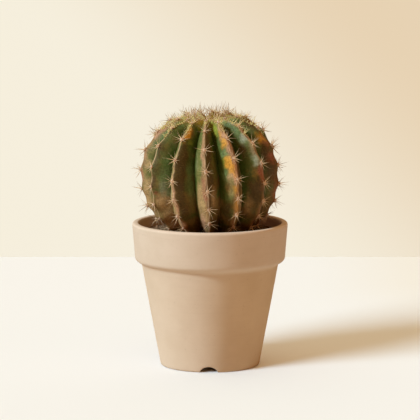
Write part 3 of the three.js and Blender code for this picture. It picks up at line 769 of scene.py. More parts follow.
def blotch_layers(across, distance, place):
    """How strongly each tone shows at each point: the sum, over its blotches, of a bell curve of
    the distance from the blotch's middle, measured in half widths and half lengths, after the
    point has strayed by two uneven fields. A rib here means its even place, so a blotch stays
    where it is when its crest is shifted. Those behind are drawn at random."""
    random = np.random.default_rng(BLOTCH_SEED)
    layers = {tone: np.zeros(place.shape[:2]) for tone in TONES}
    listed = [(rib, *blotch) for rib, blotches in BLOTCHES.items() for blotch in blotches]
    for _ in range(BACK_BLOTCHES):
        rib = int(random.integers(4, 10))
        listed.append((rib, random.uniform(-0.35, 0.3), random.uniform(22, 105),
                       random.uniform(0.06, 0.14), random.uniform(4, 11),
                       list(TONES)[random.integers(len(TONES))], random.uniform(0.4, 0.95)))
    across = across + shift(across) + 0.035 * waves(place, 6 * MM, count=10, seed=31)
    distance = distance + 2.4 * MM * waves(place, 5 * MM, count=10, seed=32)
    for rib, aside, far, width, half, tone, strength in listed:
        off = across - rib - aside
        off = off - RIBS * np.round(off / RIBS)
        bell = np.exp(-((off / width) ** 2) - ((distance - far * MM) / (half * MM)) ** 2)
        layers[tone] = layers[tone] + strength * bell
    return layers


def skin_layers(across, distance, place, cork):
    """All that the skin's mesh carries for its material."""
    q = np.abs(across - np.round(across)) * 2
    layers = {
        "furrow": q,
        "round": across * STREAK_WIDTH,
        "travel": distance,
        "bronze": bronze_and_shade_layer(across, distance, place),
        "cork": cork,
        # How far right a point lies, for painted shade on the plant's right side, away from the key.
        "painted_shade_side": place[..., 0] / (45 * MM),
        "ridge": np.exp(-((q / 0.035) ** 2)),
        "young": np.exp(-((distance / (20 * MM)) ** 2)),
    }
    return layers | blotch_layers(across, distance, place)


def crown_places(count, front, sides, spread, depth, random):
    """Places on the crests near the growing point, their outward directions, and how far grown
    each is, up to 1. They reach front millimetres out on the ribs in front and behind, and sides
    on those beside them, and stray from the crest by about spread ribs, and more in the middle."""
    rib = random.integers(0, RIBS, count)
    reach = front + (sides - front) * np.abs(np.sin(2 * np.pi * rib / RIBS))
    far = MM * (2 + (reach - 2) * random.uniform(0, 1, count) ** 0.8)
    stray = spread * random.normal(size=count) * np.minimum(2, 16 * MM / far)
    across = rib + np.clip(stray, -0.45, 0.45)
    place = skin(across, far, depth)
    out = unit(skin(across, far, depth, MM) - place)
    return place, out, np.clip(far / (30 * MM), 0.15, 1)


# The soil's form.


def soil_reach(height):
    """The soil's radius at the wall."""
    return inner_radius(SOIL_TOP_Z - SOIL_EDGE_DROP, height) - GAP


def soil_height(x, y, reach):
    """The soil's top: level, with two crossed waves and a slanted one, lumps on the scale of
    CLOD_SIZE, and a fall to the wall that grows with the sixth power of the radius."""
    inward = 1 - np.minimum(1, np.hypot(x, y) / reach) ** 6
    crossed = np.sin(0.6 * x / MM + 1.3) * np.sin(0.5 * y / MM + 0.4)
    relief = SOIL_RELIEF * (crossed + 0.6 * np.sin(1.7 * x / MM - 1.4 * y / MM))
    clods = CLOD_RELIEF * waves(np.stack([x, y, 0 * x], -1), CLOD_SIZE, count=14, seed=5)
    return SOIL_TOP_Z - SOIL_EDGE_DROP + inward * (SOIL_EDGE_DROP + relief) + clods


def root_axis():
    """Where the root's middle line stands: under the globe's lowest point."""
    return leaning(np.array([0, 0, -GLOBE_BELOW]))


def soil_rings(height, depth):
    """The soil's wall ring and the ring where it meets the plant, each (columns, 3), and how far
    along the outline each of that ring's points lies. The two run along the skin's columns."""
    across = skin_columns()
    reach = soil_reach(height)
    distance = np.linspace(SOCKET_START, TRAVELLED[-1], 400)
    grid = skin(across[None], distance[:, None], depth, GAP)
    row = crossing(grid[..., 2], soil_height(grid[..., 0], grid[..., 1], reach))
    met = np.interp(row, np.arange(len(distance)), distance)
    contact = skin(across, met, depth, GAP)
    angle = math.radians(FRONT_RIB_ANGLE) + 2 * np.pi * (across + shift(across)) / RIBS
    wall = np.stack([reach * np.sin(angle), -reach * np.cos(angle), 0 * angle], -1)
    return wall, contact, met


def soil_points(height, depth):
    """The soil's rows, from the bottom of the root's hole up and out along the socket, over the
    top to the wall, and down and in underneath."""
    wall, contact, met = soil_rings(height, depth)
    across, axis, reach = skin_columns(), root_axis(), soil_reach(height)
    share = np.linspace(0, 1, SOCKET_ROWS)[:, None]
    last = TRAVELLED[-1] - SOCKET_GAP
    socket = skin(across[None], met + share * (last - met), depth, GAP)[::-1]
    off = socket[0, :, :2] - axis[:2]
    turn = off / np.linalg.norm(off, axis=1, keepdims=True)
    hole = [np.column_stack([axis[:2] + turn * r, np.full(len(turn), z)])
            for r, z in ((ROOT_TIP_RADIUS + GAP, ROOT_TIP_Z - GAP),
                         (ROOT_RADIUS + GAP, socket[0, :, 2].min()))]
    out = np.linspace(0, 1, SOIL_ROWS)[1:, None, None]
    top = contact + out * (wall - contact)
    top[..., 2] = soil_height(top[..., 0], top[..., 1], reach)
    low = FLOOR_TOP_Z + GAP
    down = [wall * [r / reach, r / reach, 0] + [0, 0, z]
            for r, z in ((inner_radius(low + FLOOR_BEVEL, height) - GAP, low + FLOOR_BEVEL),
                         (inner_radius(FLOOR_TOP_Z, height) - FLOOR_BEVEL - GAP, low))]
    rows = np.concatenate([np.array(hole), socket, top, np.array(down)])
    return rows, np.array([axis[0], axis[1], ROOT_TIP_Z - GAP]), np.array([0, 0, low])


# Materials.


def tinted(colour, factor):
    """The colour times one number, or times one each for red, green and blue."""
    return np.array(colour) * factor


class Graph:
    """Adds nodes to one material's or world's tree, and joins them."""

    def __init__(self, owner):
        owner.use_nodes = True
        self.tree = owner.node_tree
        self.tree.nodes.clear()

    def put(self, socket, value):
        """Joins a socket to an input, or sets the input's own value."""
        if isinstance(value, bpy.types.NodeSocket):
            self.tree.links.new(value, socket)
        elif socket.type == "RGBA":
            socket.default_value = (*value, 1)
        else:
            socket.default_value = value

    def add(self, kind, inputs=None, **settings):
        """A node of a kind, with its settings and its inputs by name or number."""
        node = self.tree.nodes.new(kind)
        for key, value in settings.items():
            setattr(node, key, value)
        for key, value in (inputs or {}).items():
            self.put(node.inputs[key], value)
        return node

    def noise(self, place, size, detail=3.0, roughness=0.5):
        """Cloudy noise from 0 to 1 whose clouds are about size across."""
        inputs = {"Vector": place, "Scale": 1 / size, "Detail": detail, "Roughness": roughness}
        return self.add("ShaderNodeTexNoise", inputs).outputs["Fac"]

    def stretched(self, place, x, y, z):
        """The place scaled along each axis."""
        node = self.add("ShaderNodeMapping", {"Vector": place, "Scale": (x, y, z)})
        return node.outputs["Vector"]

    def span(self, value, low, high, start=0.0, end=1.0):
        """The value taken smoothly from low..high to start..end, and kept within them."""
        inputs = {"Value": value, "From Min": low, "From Max": high, "To Min": start, "To Max": end}
        node = self.add("ShaderNodeMapRange", inputs, interpolation_type="SMOOTHSTEP")
        return node.outputs["Result"]

    def math(self, operation, one, two=0.0):
        """What an operation makes of one or two values."""
        return self.add("ShaderNodeMath", {0: one, 1: two}, operation=operation).outputs[0]

    def times(self, one, two):
        """The product of two values."""
        return self.math("MULTIPLY", one, two)

    def plus(self, one, two, share=1.0):
        """The sum of one value and a share of another."""
        return self.math("ADD", one, two if share == 1 else self.times(two, share))

    def centred(self, field, share):
        """A share of a field, moved so that it swings about 0."""
        return self.times(self.math("SUBTRACT", field, 0.5), share)

    def mix(self, factor, one, two, blend_type="MIX"):
        """Colour one with factor of colour two."""
        inputs = {0: factor, 6: one, 7: two}
        return self.add("ShaderNodeMix", inputs, data_type="RGBA", blend_type=blend_type).outputs[2]

    def layer(self, name):
        """A value that the mesh holds at each point."""
        return self.add("ShaderNodeAttribute", attribute_name=name).outputs["Fac"]

    def place(self):
        """The point's place in the object's own coordinates."""
        return self.add("ShaderNodeTexCoord").outputs["Object"]

    def parts(self, vector):
        """A vector's parts, by the names X, Y and Z."""
        return self.add("ShaderNodeSeparateXYZ", {0: vector}).outputs

    def bump(self, height, distance, strength=1.0):
        """A surface normal tilted by a height."""
        inputs = {"Height": height, "Distance": distance, "Strength": strength}
        return self.add("ShaderNodeBump", inputs).outputs["Normal"]

    def finish(self, tone, roughness, normal, specular, **settings):
        """The surface's shader, joined to the output. The settings are its further inputs, with
        an underscore for a space."""
        inputs = {"Base Color": tone, "Roughness": roughness, "Specular IOR Level": specular}
        if normal is not None:
            inputs["Normal"] = normal
        inputs |= {name.replace("_", " "): value for name, value in settings.items()}
        shader = self.add("ShaderNodeBsdfPrincipled", inputs)
        output = self.add("ShaderNodeOutputMaterial")
        self.tree.links.new(shader.outputs["BSDF"], output.inputs["Surface"])


def scored_line(g, place, z):
    """How strongly the wavy line of specks under the lip shows, from 0 to 1."""
    drift = g.times(g.noise(place, 13 * MM, 2), 1.6 * MM)
    off = g.math("ABSOLUTE", g.math("SUBTRACT", g.plus(z, drift), SCORED_LINE_Z))
    specks = g.span(g.noise(place, 0.9 * MM, 2), 0.5, 0.66)
    return g.times(g.span(off, 0.1 * MM, 0.35 * MM, 1, 0), specks)


def clay_zones(g, tone, colour, at):
    """The clay's tone by where it lies: on the inside partly a damp stain and partly painted light
    and shade, paler on the left and darker and browner on the right, where the plant shades it;
    warmer and darker on the body's right side, away from the key, as painted shade; cooler on the
    band; and paler on the lip as a painted highlight."""
    # Painted light and shade on the inside: paler on the left, darker and browner on the right.
    inside_stain_and_light = g.mix(g.span(at["X"], -48 * MM, 20 * MM), tinted(colour, (1.7, 1.5, 1.4)),
                    tinted(colour, (0.7, 0.36, 0.2)))
    tone = g.mix(g.times(g.layer("inside"), 0.5), tone, inside_stain_and_light)
    # Painted shade: the body's right side, away from the key, is made warmer and darker.
    warm = g.times(g.span(at["X"], -10 * MM, 30 * MM), g.span(at["Z"], *BAND_Z, 1, 0))
    tone = g.mix(warm, tone, (0.97, 0.93, 0.82), "MULTIPLY")
    tone = g.mix(g.span(at["Z"], *BAND_Z), tone, (1.0, 1.02, 1.06), "MULTIPLY")
    # Painted highlight: the lip is made paler, as where it catches the light.
    return g.mix(g.span(at["Z"], *LIP_HIGHLIGHT_Z), tone, (1.13, 1.13, 1.15), "MULTIPLY")


def clay_material(colour):
    """Unglazed clay: a matte wall with soft clouds, fine grain, faint level turning marks, sparse
    dark pores and one wavy line of specks under the lip, in a tone that changes from zone to zone."""
    material = bpy.data.materials.new("clay")
    g = Graph(material)
    place = g.place()
    at = g.parts(place)
    clouds = g.noise(place, 28 * MM, 4, 0.55)
    grain = g.noise(place, 0.7 * MM, 4, 0.6)
    turned = g.noise(g.stretched(place, 0.05, 0.05, 1), 1.6 * MM, 3, 0.6)
    pores = g.span(g.noise(place, 1.5 * MM, 1, 0.3), 0.71, 0.79)
    deep = tinted(colour, (0.96, 0.945, 0.92))
    tone = g.mix(g.span(clouds, 0.3, 0.7), tinted(colour, 1.03), deep)
    tone = g.mix(g.span(turned, 0.45, 0.8, 0, 0.10), tone, deep * 0.82)
    tone = g.mix(g.span(grain, 0.55, 0.8, 0, 0.12), tone, deep * 0.7)
    tone = g.mix(g.times(pores, 0.14), tone, deep * 0.45)
    tone = g.mix(g.times(scored_line(g, place, at["Z"]), 0.22), tone, deep * 0.4)
    relief = g.plus(g.times(grain, 0.5), turned, 0.6)
    relief = g.plus(relief, pores, -0.8)
    g.finish(clay_zones(g, tone, colour, at), g.span(grain, 0.3, 0.7, 0.78, 0.9),
             g.bump(relief, 0.09 * MM, 0.55), 0.1)
    return material


def soil_material(colour):
    """Damp potting soil: nearly black crumbs with browner and paler grains between them, and paler
    towards the left as painted light."""
    material = bpy.data.materials.new("potting_soil")
    g = Graph(material)
    place = g.place()
    grain, clumps = g.noise(place, 1.1 * MM, 5, 0.65), g.noise(place, 5 * MM, 3)
    tone = g.mix(g.span(clumps, 0.35, 0.65), colour, tinted(colour, (1.9, 1.7, 1.5)))
    tone = g.mix(g.span(grain, 0.5, 0.75, 0, 0.6), tone, tinted(colour, (2.6, 1.9, 1.3)))
    tone = g.mix(g.span(g.layer("tint"), 0.55, 1, 0, 0.5), tone, tinted(colour, (4.4, 3.4, 2.8)))
    # Painted light: the soil is made paler towards the left.
    tone = g.mix(g.span(g.parts(place)["X"], -42 * MM, 5 * MM, 0.5, 0), tone, PAINTED_LIGHT_SOIL)
    g.finish(tone, g.span(grain, 0.3, 0.7, 0.75, 1), g.bump(grain, 0.5 * MM), 0.02)
    return material


def skin_fields(g):
    """What the skin's tones share: noise of three sizes, noise drawn out along the ribs and across
    them, and a ragged edge that swings about 0."""
    place = g.place()
    inputs = {"X": g.layer("round"), "Y": g.layer("travel")}
    unrolled = g.add("ShaderNodeCombineXYZ", inputs).outputs[0]
    broad, mid = g.noise(place, 9 * MM, 3, 0.5), g.noise(place, 3.2 * MM, 4, 0.6)
    fine = g.noise(place, 0.9 * MM, 5, 0.65)
    streaks = g.noise(g.stretched(unrolled, 1, 0.12, 1), 1.3 * MM, 3, 0.6)
    wrinkles = g.noise(g.stretched(unrolled, 0.16, 1, 1), 1.5 * MM, 3, 0.6)
    ragged = g.plus(g.centred(mid, 1.3), g.centred(fine, 0.7))
    return broad, mid, fine, streaks, wrinkles, ragged


def flank_tone(g, fields, green, bronze):
    """Green, darker in the furrows as painted shade, bronze where the mesh says so, which is partly
    painted shade, and golden in the crown.
    """
    broad, mid, _, streaks, _, ragged = fields
    tone = g.mix(g.span(mid, 0.3, 0.7), tinted(green, (0.8, 0.9, 0.85)),
                 tinted(green, (1.4, 1.35, 1.4)))
    # Painted shade: the furrows are darkened where the ribs shade them.
    furrow = g.plus(g.layer("furrow"), g.centred(broad, 0.5))
    tone = g.mix(g.span(furrow, 0.4, 0.85), tone, tinted(green, (0.5, 0.7, 0.3)))
    # Bronze, partly painted shade on the right flanks and the plant's right side.
    bronze_and_shade = g.span(g.plus(g.layer("bronze"), ragged, 0.8), 0.05, 0.85)
    brown = g.mix(g.span(streaks, 0.35, 0.65), bronze, tinted(bronze, 0.66))
    tone = g.mix(g.times(bronze_and_shade, 0.88), tone, brown)
    young = g.span(g.plus(g.layer("young"), ragged, 0.4), 0.2, 0.8)
    return g.mix(g.times(young, 0.8), tone, YOUNG_SKIN)


def cork_tone(g, broad, cork):
    """The corky band's tone: pale, in soft clouds, and darker on the plant's right side, away from
    the key, as painted shade.
    """
    tone = g.mix(g.span(broad, 0.35, 0.65), cork, tinted(cork, (0.85, 0.72, 0.7)))
    # Painted shade: the cork is darkened on the plant's right side.
    return g.mix(g.span(g.layer("painted_shade_side"), 0.2, 1), tone, tinted(cork, (0.52, 0.39, 0.28)))


def blotched(g, fields, tone):
    """The tone with the blotches that the mesh carries, ragged at the edge and mottled."""
    _, _, fine, _, _, ragged = fields
    for layer, colour in TONES.items():
        strength = g.span(g.plus(g.layer(layer), ragged, 0.45), 0.05, 1.2)
        strength = g.times(strength, g.span(g.layer(layer), 0.03, 0.4))
        shade = g.mix(g.span(fine, 0.35, 0.65), tinted(colour, 1.12), tinted(colour, 0.8))
        tone = g.mix(g.times(strength, 0.92), tone, shade)
    return tone


def weathered(g, fields, tone, corky, cork):
    """The tone with dark streaks on the cork, a pale worn line on each ridge, fainter on the plant's
    right side as painted shade, dark streaks along the ribs, dark wrinkles across them, and dark
    and pale specks."""
    broad, _, fine, streaks, wrinkles, _ = fields
    streaked = g.times(g.span(corky, 0.2, 0.8), g.span(streaks, 0.48, 0.66, 0, 0.65))
    tone = g.mix(streaked, tone, tinted(cork, (0.52, 0.36, 0.34)))
    worn = g.times(g.layer("ridge"), g.span(broad, 0.3, 0.6, 0.1, 0.7))
    # Painted shade: the worn line fades on the plant's right side.
    worn = g.times(worn, g.span(g.layer("painted_shade_side"), 0.1, 0.6, 1, 0.25))
    tone = g.mix(worn, tone, WORN_RIDGE)
    tone = g.mix(g.span(streaks, 0.52, 0.7, 0, 0.3), tone, (0.075, 0.034, 0.012))
    tone = g.mix(g.span(wrinkles, 0.5, 0.75, 0, 0.25), tone, (0.045, 0.026, 0.006))
    tone = g.mix(g.span(fine, 0.5, 0.7, 0, 0.38), tone, (0.045, 0.028, 0.007))
    return g.mix(g.span(fine, 0.45, 0.25, 0, 0.22), tone, (0.36, 0.25, 0.10))


def skin_material(green, bronze, cork):
    """Waxy skin: green and bronze flanks, a ragged corky band on the crests, the blotches that the
    mesh carries, and fine streaks, wrinkles and specks over all of them. Painted shade darkens the
    furrows and the plant's right side, and some of the bronze and the blotches stand for light and
    shade."""
    material = bpy.data.materials.new("skin")
    g = Graph(material)
    fields = skin_fields(g)
    broad, mid, fine, _, wrinkles, ragged = fields
    corky = g.plus(g.layer("cork"), ragged, 0.5)
    tone = flank_tone(g, fields, green, bronze)
    tone = g.mix(g.times(g.span(corky, 0.2, 1.0), 0.85), tone, cork_tone(g, broad, cork))
    tone = weathered(g, fields, blotched(g, fields, tone), corky, cork)
    relief = g.plus(g.plus(g.times(fine, 0.5), wrinkles, 0.6), mid)
    rough = g.plus(g.span(mid, 0.3, 0.7, 0.5, 0.65), g.layer("cork"), 0.25)
    g.finish(tone, rough, g.bump(relief, 0.4 * MM, 0.6), 0.12)
    return material


def strand_material(name, root, tip, dark, roughness):
    """Hairs and spines: one tone at the root and another at the tip, some darker than others."""
    material = bpy.data.materials.new(name)
    g = Graph(material)
    tone = g.mix(g.span(g.layer("along"), 0.25, 1), root, tip)
    tone = g.mix(g.span(g.layer("tint"), 0.45, 1, 0, 0.7), tone, dark)
    grain = g.noise(g.place(), 0.5 * MM, 2)
    tone = g.mix(g.span(grain, 0.45, 0.75, 0, 0.25), tone, tinted(dark, 0.7))
    g.finish(tone, roughness, g.bump(grain, 0.05 * MM, 0.5), 0.4)
    return material


def felt_material(name, colour):
    """Short matted felt: a soft, mottled tone with a fine nap."""
    material = bpy.data.materials.new(name)
    g = Graph(material)
    place = g.place()
    nap, spots = g.noise(place, 0.25 * MM, 3, 0.6), g.noise(place, 1.2 * MM, 3)
    tone = g.mix(g.span(spots, 0.35, 0.65), colour, tinted(colour, (0.72, 0.62, 0.5)))
    tone = g.mix(g.span(g.layer("tint"), 0.5, 1, 0, 0.45), tone, tinted(colour, (0.6, 0.5, 0.42)))
    g.finish(tone, 0.95, g.bump(nap, 0.25 * MM), 0.15, Sheen_Weight=0.4, Sheen_Roughness=0.5)
    return material


def floor_material(colour):
    """A plain pale surface with the faintest unevenness, a little warmer behind on the right."""
    material = bpy.data.materials.new("floor")
    g = Graph(material)
    place = g.place()
    at = g.parts(place)
    tone = g.mix(g.span(g.noise(place, 0.6, 2), 0.3, 0.7), colour, tinted(colour, 0.985))
    warm = g.times(g.span(at["X"], 0.06, 0.20), g.span(at["Y"], 0.12, 0.36))
    g.finish(g.mix(warm, tone, (0.974, 0.93, 0.85), "MULTIPLY"), 0.9, None, 0.1)
    return material


# What a user can change.


def colour_property(name, description, default):
    """A colour, in linear light."""
    return bpy.props.FloatVectorProperty(
        name=name, description=description, default=default, subtype="COLOR", size=3, min=0, max=1)


def length_property(name, description, default):
    """A length in metres."""
    return bpy.props.FloatProperty(
        name=name, description=description, default=default, unit="LENGTH", subtype="DISTANCE",
        precision=4)


def angle_property(name, description, default):
    """An angle, given here in degrees."""
    return bpy.props.FloatProperty(
        name=name, description=description, default=math.radians(default), subtype="ANGLE",
        unit="ROTATION")


class PotSettings(bpy.types.PropertyGroup):
    """Sizes and colours of the pot and its soil."""

    height: length_property("Height", "The pot's height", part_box("pot")[1].z)
    rim_radius: length_property("Rim radius", "The rim's outer radius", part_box("pot")[1].x)
    clay: colour_property("Clay", "The fired clay's colour", (0.5535, 0.380, 0.2405))
    soil: colour_property("Soil", "The damp soil's colour", (0.060, 0.0300, 0.0135))
    crumbs: bpy.props.IntProperty(
        name="Crumbs", description="How many loose crumbs lie on the soil", default=1500, min=0)


class PlantSettings(bpy.types.PropertyGroup):
    """Sizes and colours of the plant."""

    furrow_depth: length_property("Furrow depth", "How deep the furrows are", 14 * MM)
    spine_length: length_property("Spine length", "A full-grown side spine's length", 6.8 * MM)
    spine_width: length_property("Spine radius", "A spine's radius at its root", 0.17 * MM)
    side_spines: bpy.props.IntProperty(
        name="Side spines", description="How many side spines stand round a pad", default=9, min=3)
    green: colour_property("Green", "The flanks' colour", (0.094, 0.098, 0.019))
    bronze: colour_property("Bronze", "The shoulders' colour", (0.180, 0.088, 0.018))
    cork: colour_property("Cork", "The corky band's colour", (0.40, 0.220, 0.080))
    straw: colour_property("Straw", "The spines' colour", (0.88, 0.56, 0.275))
    felt: colour_property("Felt", "The felt pads' colour", (0.70, 0.44, 0.26))


class StageSettings(bpy.types.PropertyGroup):
    """The floor, the light and the camera."""

    floor: colour_property("Floor", "The floor's colour", (0.90, 0.865, 0.83))
    key_strength: bpy.props.FloatProperty(
        name="Key strength", description="How bright the key light is", default=5.2, min=0)
    key_azimuth: angle_property("Key azimuth", "How far left of the camera the key stands", 66)
    shadow_azimuth: angle_property("Shadow azimuth", "The same, for the light on the floor", 50)
    key_elevation: angle_property("Key elevation", "The key light's angle above the floor", 33)
    shadow_elevation: angle_property("Shadow elevation", "The same, for the light on the floor", 28)
    lens: bpy.props.FloatProperty(
        name="Lens", description="The camera's focal length in millimetres", default=269.3)


# The pieces.


class PieceOperator:
    """What every operator here shares."""

    bl_options = {"REGISTER", "UNDO"}


class CACTUS_OT_pot(PieceOperator, bpy.types.Operator):
    """Makes the clay pot"""

    bl_idname = "potted_cactus.pot"
    bl_label = "Clay pot"

    def execute(self, context):
        settings = context.scene.cactus_pot
        points, inside = pot_points(settings.height, settings.rim_radius)
        pot = ring("clay_pot", points, clay_material(settings.clay), "clay", {"inside": inside})
        pot.data.set_sharp_from_angle(angle=math.radians(50))
        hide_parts("pot")
        return {"FINISHED"}


class CACTUS_OT_soil(PieceOperator, bpy.types.Operator):
    """Makes the soil, its loose crumbs and a few fibres"""

    bl_idname = "potted_cactus.soil"
    bl_label = "Potting soil"

    def execute(self, context):
        pot, plant = context.scene.cactus_pot, context.scene.cactus_plant
        rows, first, last = soil_points(pot.height, plant.furrow_depth)
        material = soil_material(pot.soil)
        plain = {"tint": 0.0}  # the palest grains are among the crumbs
        soil = shells("soil_surface", rows[None], first[None], last[None], material, "soil", plain)
        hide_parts("soil")
        random = np.random.default_rng(SOIL_SEED)
        self.crumbs(pot, plant, material, random)
        self.fibres(pot, plant, random)
        return {"FINISHED"}

    def lie(self, pot, plant, count, margin, random):
        """Places on the ring of soil between the plant and the wall. The margin is the share of
        the ring's width that stays free on each side."""
        wall, contact, _ = soil_rings(pot.height, plant.furrow_depth)
        column = random.integers(0, len(wall), count)
        out = random.uniform(margin, 1 - margin, (count, 1))
        place = contact[column] + out * (wall[column] - contact[column])
        place[:, 2] = soil_height(place[:, 0], place[:, 1], soil_reach(pot.height))
        return place

    def crumbs(self, pot, plant, material, random):
        """Loose crumbs, most of them small: the radius grows with the fourth power of the draw."""
        count = pot.crumbs
        place = self.lie(pot, plant, count, 0.04, random)
        radius = MM * (0.28 + 0.85 * random.uniform(0, 1, count) ** 4)
        size = radius[:, None] * random.uniform(0.7, 1.25, (count, 3))
        place[:, 2] += 0.35 * radius
        out = unit(random.normal(size=(count, 3)))
        side, _ = across_pair(out)
        lumps("soil_crumbs", place, out, side, size, random, material, "soil",
              rough=0.22, rings=4, sides=6)

    def fibres(self, pot, plant, random):
        """Short, nearly level fibres that bend sideways."""
        start = self.lie(pot, plant, FIBRES, 0.2, random) + [0, 0, 0.4 * MM]
        turn = random.uniform(0, 2 * np.pi, FIBRES)
        flat = unit(np.stack([np.cos(turn), np.sin(turn), random.uniform(-0.05, 0.15, FIBRES)], -1))
        bend = 0.25 * np.cross(flat, [0, 0, 1]) * random.uniform(-1, 1, (FIBRES, 1))
        length = MM * random.uniform(2, 4.5, FIBRES)
        width = MM * random.uniform(0.1, 0.2, FIBRES)
        bark = strand_material("bark_fibre", (0.10, 0.06, 0.03), (0.16, 0.10, 0.05),
                               (0.03, 0.018, 0.01), 0.9)
        strands("soil_fibres", start, flat, bend, length, width, random.uniform(0, 1, FIBRES), bark,
                "soil", rings=5, sides=4, taper=0.4)


class CACTUS_OT_skin(PieceOperator, bpy.types.Operator):
    """Makes the ribbed globe and its root"""

    bl_idname = "potted_cactus.skin"
    bl_label = "Ribbed globe"

    def execute(self, context):
        plant = context.scene.cactus_plant
        across, distance = skin_columns()[None], skin_rows()[:, None]
        flat = skin(across, distance, plant.furrow_depth)
        cork = cork_layer(across, distance, flat)
        grow = CORK_RELIEF * cork + dents(across, flat)
        points = skin(across, distance, plant.furrow_depth, grow)
        layers = skin_layers(across, distance, flat, cork)
        poles = leaning(np.array([[0, 0, GLOBE_ABOVE - CROWN_DIP], [0, 0, -GLOBE_BELOW]]))
        material = skin_material(plant.green, plant.bronze, plant.cork)
        body = shells("cactus_skin", points[None], poles[:1], poles[1:], material, "plant", layers)
        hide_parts("cactus")
        self.root()
        return {"FINISHED"}

    def root(self):
        """The woody root: rings about its axis whose radius falls evenly to the tip, with knots."""
        axis = root_axis()
        high = axis[2] + ROOT_SUNK
        t = np.linspace(0, 1, 30)[:, None]
        turn = np.linspace(0, 2 * np.pi, 32, endpoint=False)[None]
        z = high + t * (ROOT_TIP_Z - high)
        radius = ROOT_RADIUS + t * (ROOT_TIP_RADIUS - ROOT_RADIUS)
        radius = radius * (0.96 + 0.04 * np.sin(3 * turn + 9 * t) * np.sin(17 * t))
        rows = np.stack([axis[0] + radius * np.sin(turn), axis[1] - radius * np.cos(turn),
                         z + 0 * turn], -1)[None]
        bark = strand_material("root_bark", (0.20, 0.12, 0.06), (0.14, 0.08, 0.04),
                               (0.06, 0.035, 0.02), 0.9)
        ends = np.array([[axis[0], axis[1], high], [axis[0], axis[1], ROOT_TIP_Z]])
        shells("cactus_root", rows, ends[:1], ends[1:], bark, "plant", {"along": t, "tint": 0.5})


class CACTUS_OT_pads(PieceOperator, bpy.types.Operator):
    """Makes the felt pads and their nap"""

    bl_idname = "potted_cactus.pads"
    bl_label = "Felt pads"

    def execute(self, context):
        plant = context.scene.cactus_plant
        random = np.random.default_rng(PAD_SEED)
        every = pads(plant.furrow_depth)
        _, n, place, out, down, side = [values[every[1] > YOUNGEST_FELT] for values in every]
        grown = random.uniform(0.85, 1.2, (len(n), 1))
        grown = grown * (1 - 0.5 * np.clip(-n / 1.5, 0, 1))[:, None]
        size = grown * np.array([PAD_HALF_WIDTH, PAD_HALF_LENGTH, PAD_HEIGHT])
        felt = felt_material("felt", plant.felt)
        lumps("felt_pads", place + out * 0.25 * MM, out, side, size, random, felt, "plant",
              rough=0.13, rings=7, sides=14)
        self.fuzz(plant, place, out, down, side, size, random)
        return {"FINISHED"}

    def fuzz(self, plant, place, out, down, side, size, random):
        """The nap: short hairs that start on each pad's dome and lean away from its middle."""
        owner = np.repeat(np.arange(len(place)), FUZZ_PER_PAD)
        count = len(owner)
        turn, far = random.uniform(0, 2 * np.pi, count), random.uniform(0.2, 0.95, count)
        flat = (np.cos(turn)[:, None] * side[owner] * size[owner, :1]
                + np.sin(turn)[:, None] * down[owner] * size[owner, 1:2]) * far[:, None]
        high = 0.2 * MM + size[owner, 2:] * 0.5 * (1 - far[:, None])
        start = place[owner] + flat + out[owner] * high
        way = unit(out[owner] + 0.9 * unit(flat) + 0.5 * random.normal(size=(count, 3)))
        nap = strand_material("felt_nap", plant.felt, tinted(plant.felt, 1.1),
                              tinted(plant.felt, (0.6, 0.5, 0.42)), 0.9)
        bend = 0.3 * random.normal(size=(count, 3))
        length = MM * random.uniform(0.6, 1.3, count)
        strands("felt_fuzz", start, way, bend, length, np.full(count, 0.05 * MM),
                random.uniform(0, 1, count), nap, "plant", rings=2, sides=3, taper=0.6)


class CACTUS_OT_spines(PieceOperator, bpy.types.Operator):
    """Makes the spines of every pad: a ring of side spines and a few in the middle"""

    bl_idname = "potted_cactus.spines"
    bl_label = "Spines"

    def execute(self, context):
        plant = context.scene.cactus_plant
        random = np.random.default_rng(SPINE_SEED)
        _, n, place, out, down, side = pads(plant.furrow_depth)
        each = plant.side_spines + CENTRAL_SPINES
        count = len(n) * each
        owner = np.repeat(np.arange(len(n)), each)
        n, place, out, down, side = (values[owner] for values in (n, place, out, down, side))
        number = np.tile(np.arange(each), count // each)
        central = number >= plant.side_spines
        young, old = np.clip(-n, 0, 1), np.clip((n - 4.5) / 1.5, 0, 1)
        jitter = random.uniform(-0.5, 0.5, (4, count))
        turn = 2 * np.pi * (number + 0.7 * jitter[0]) / plant.side_spines
        turn = np.where(central, 2 * np.pi * jitter[0], turn)
        tilt = spine_tilt(central, young) + np.radians(TILT_SPREAD) * jitter[1]
        aside = -np.cos(turn)[:, None] * down + np.sin(turn)[:, None] * side
        way = unit(np.cos(tilt)[:, None] * out + np.sin(tilt)[:, None] * aside)
        length = plant.spine_length * (1 + 0.5 * jitter[2]) * np.where(central, 1.05, 1)
        length = length * (1 + 0.2 * young)
        width = plant.spine_width * (1 + 0.3 * jitter[3]) * np.where(central, 1.15, 1)
        width = width * (1 + 0.1 * young)
        bend = 0.12 * (out - way * 0.5) + 0.05 * random.normal(size=(count, 3))
        start = place + 0.3 * MM * out + 0.5 * MM * aside * ~central[:, None]
        clear_of_soil(start, way, bend, length)
        kept = random.uniform(0, 1, count) > 0.4 * young
        tint = np.clip(random.uniform(0, 1, count) + 0.1 * young + 0.25 * old, 0, 1)
        start, way, bend, length, width, tint = (
            values[kept] for values in (start, way, bend, length, width, tint))
        straw = strand_material("spine", plant.straw, SPINE_TIP, SPINE_DARK, 0.5)
        strands("spines", start, way, bend, length, width, tint, straw, "plant",
                rings=4, sides=5, taper=0.75)
        return {"FINISHED"}


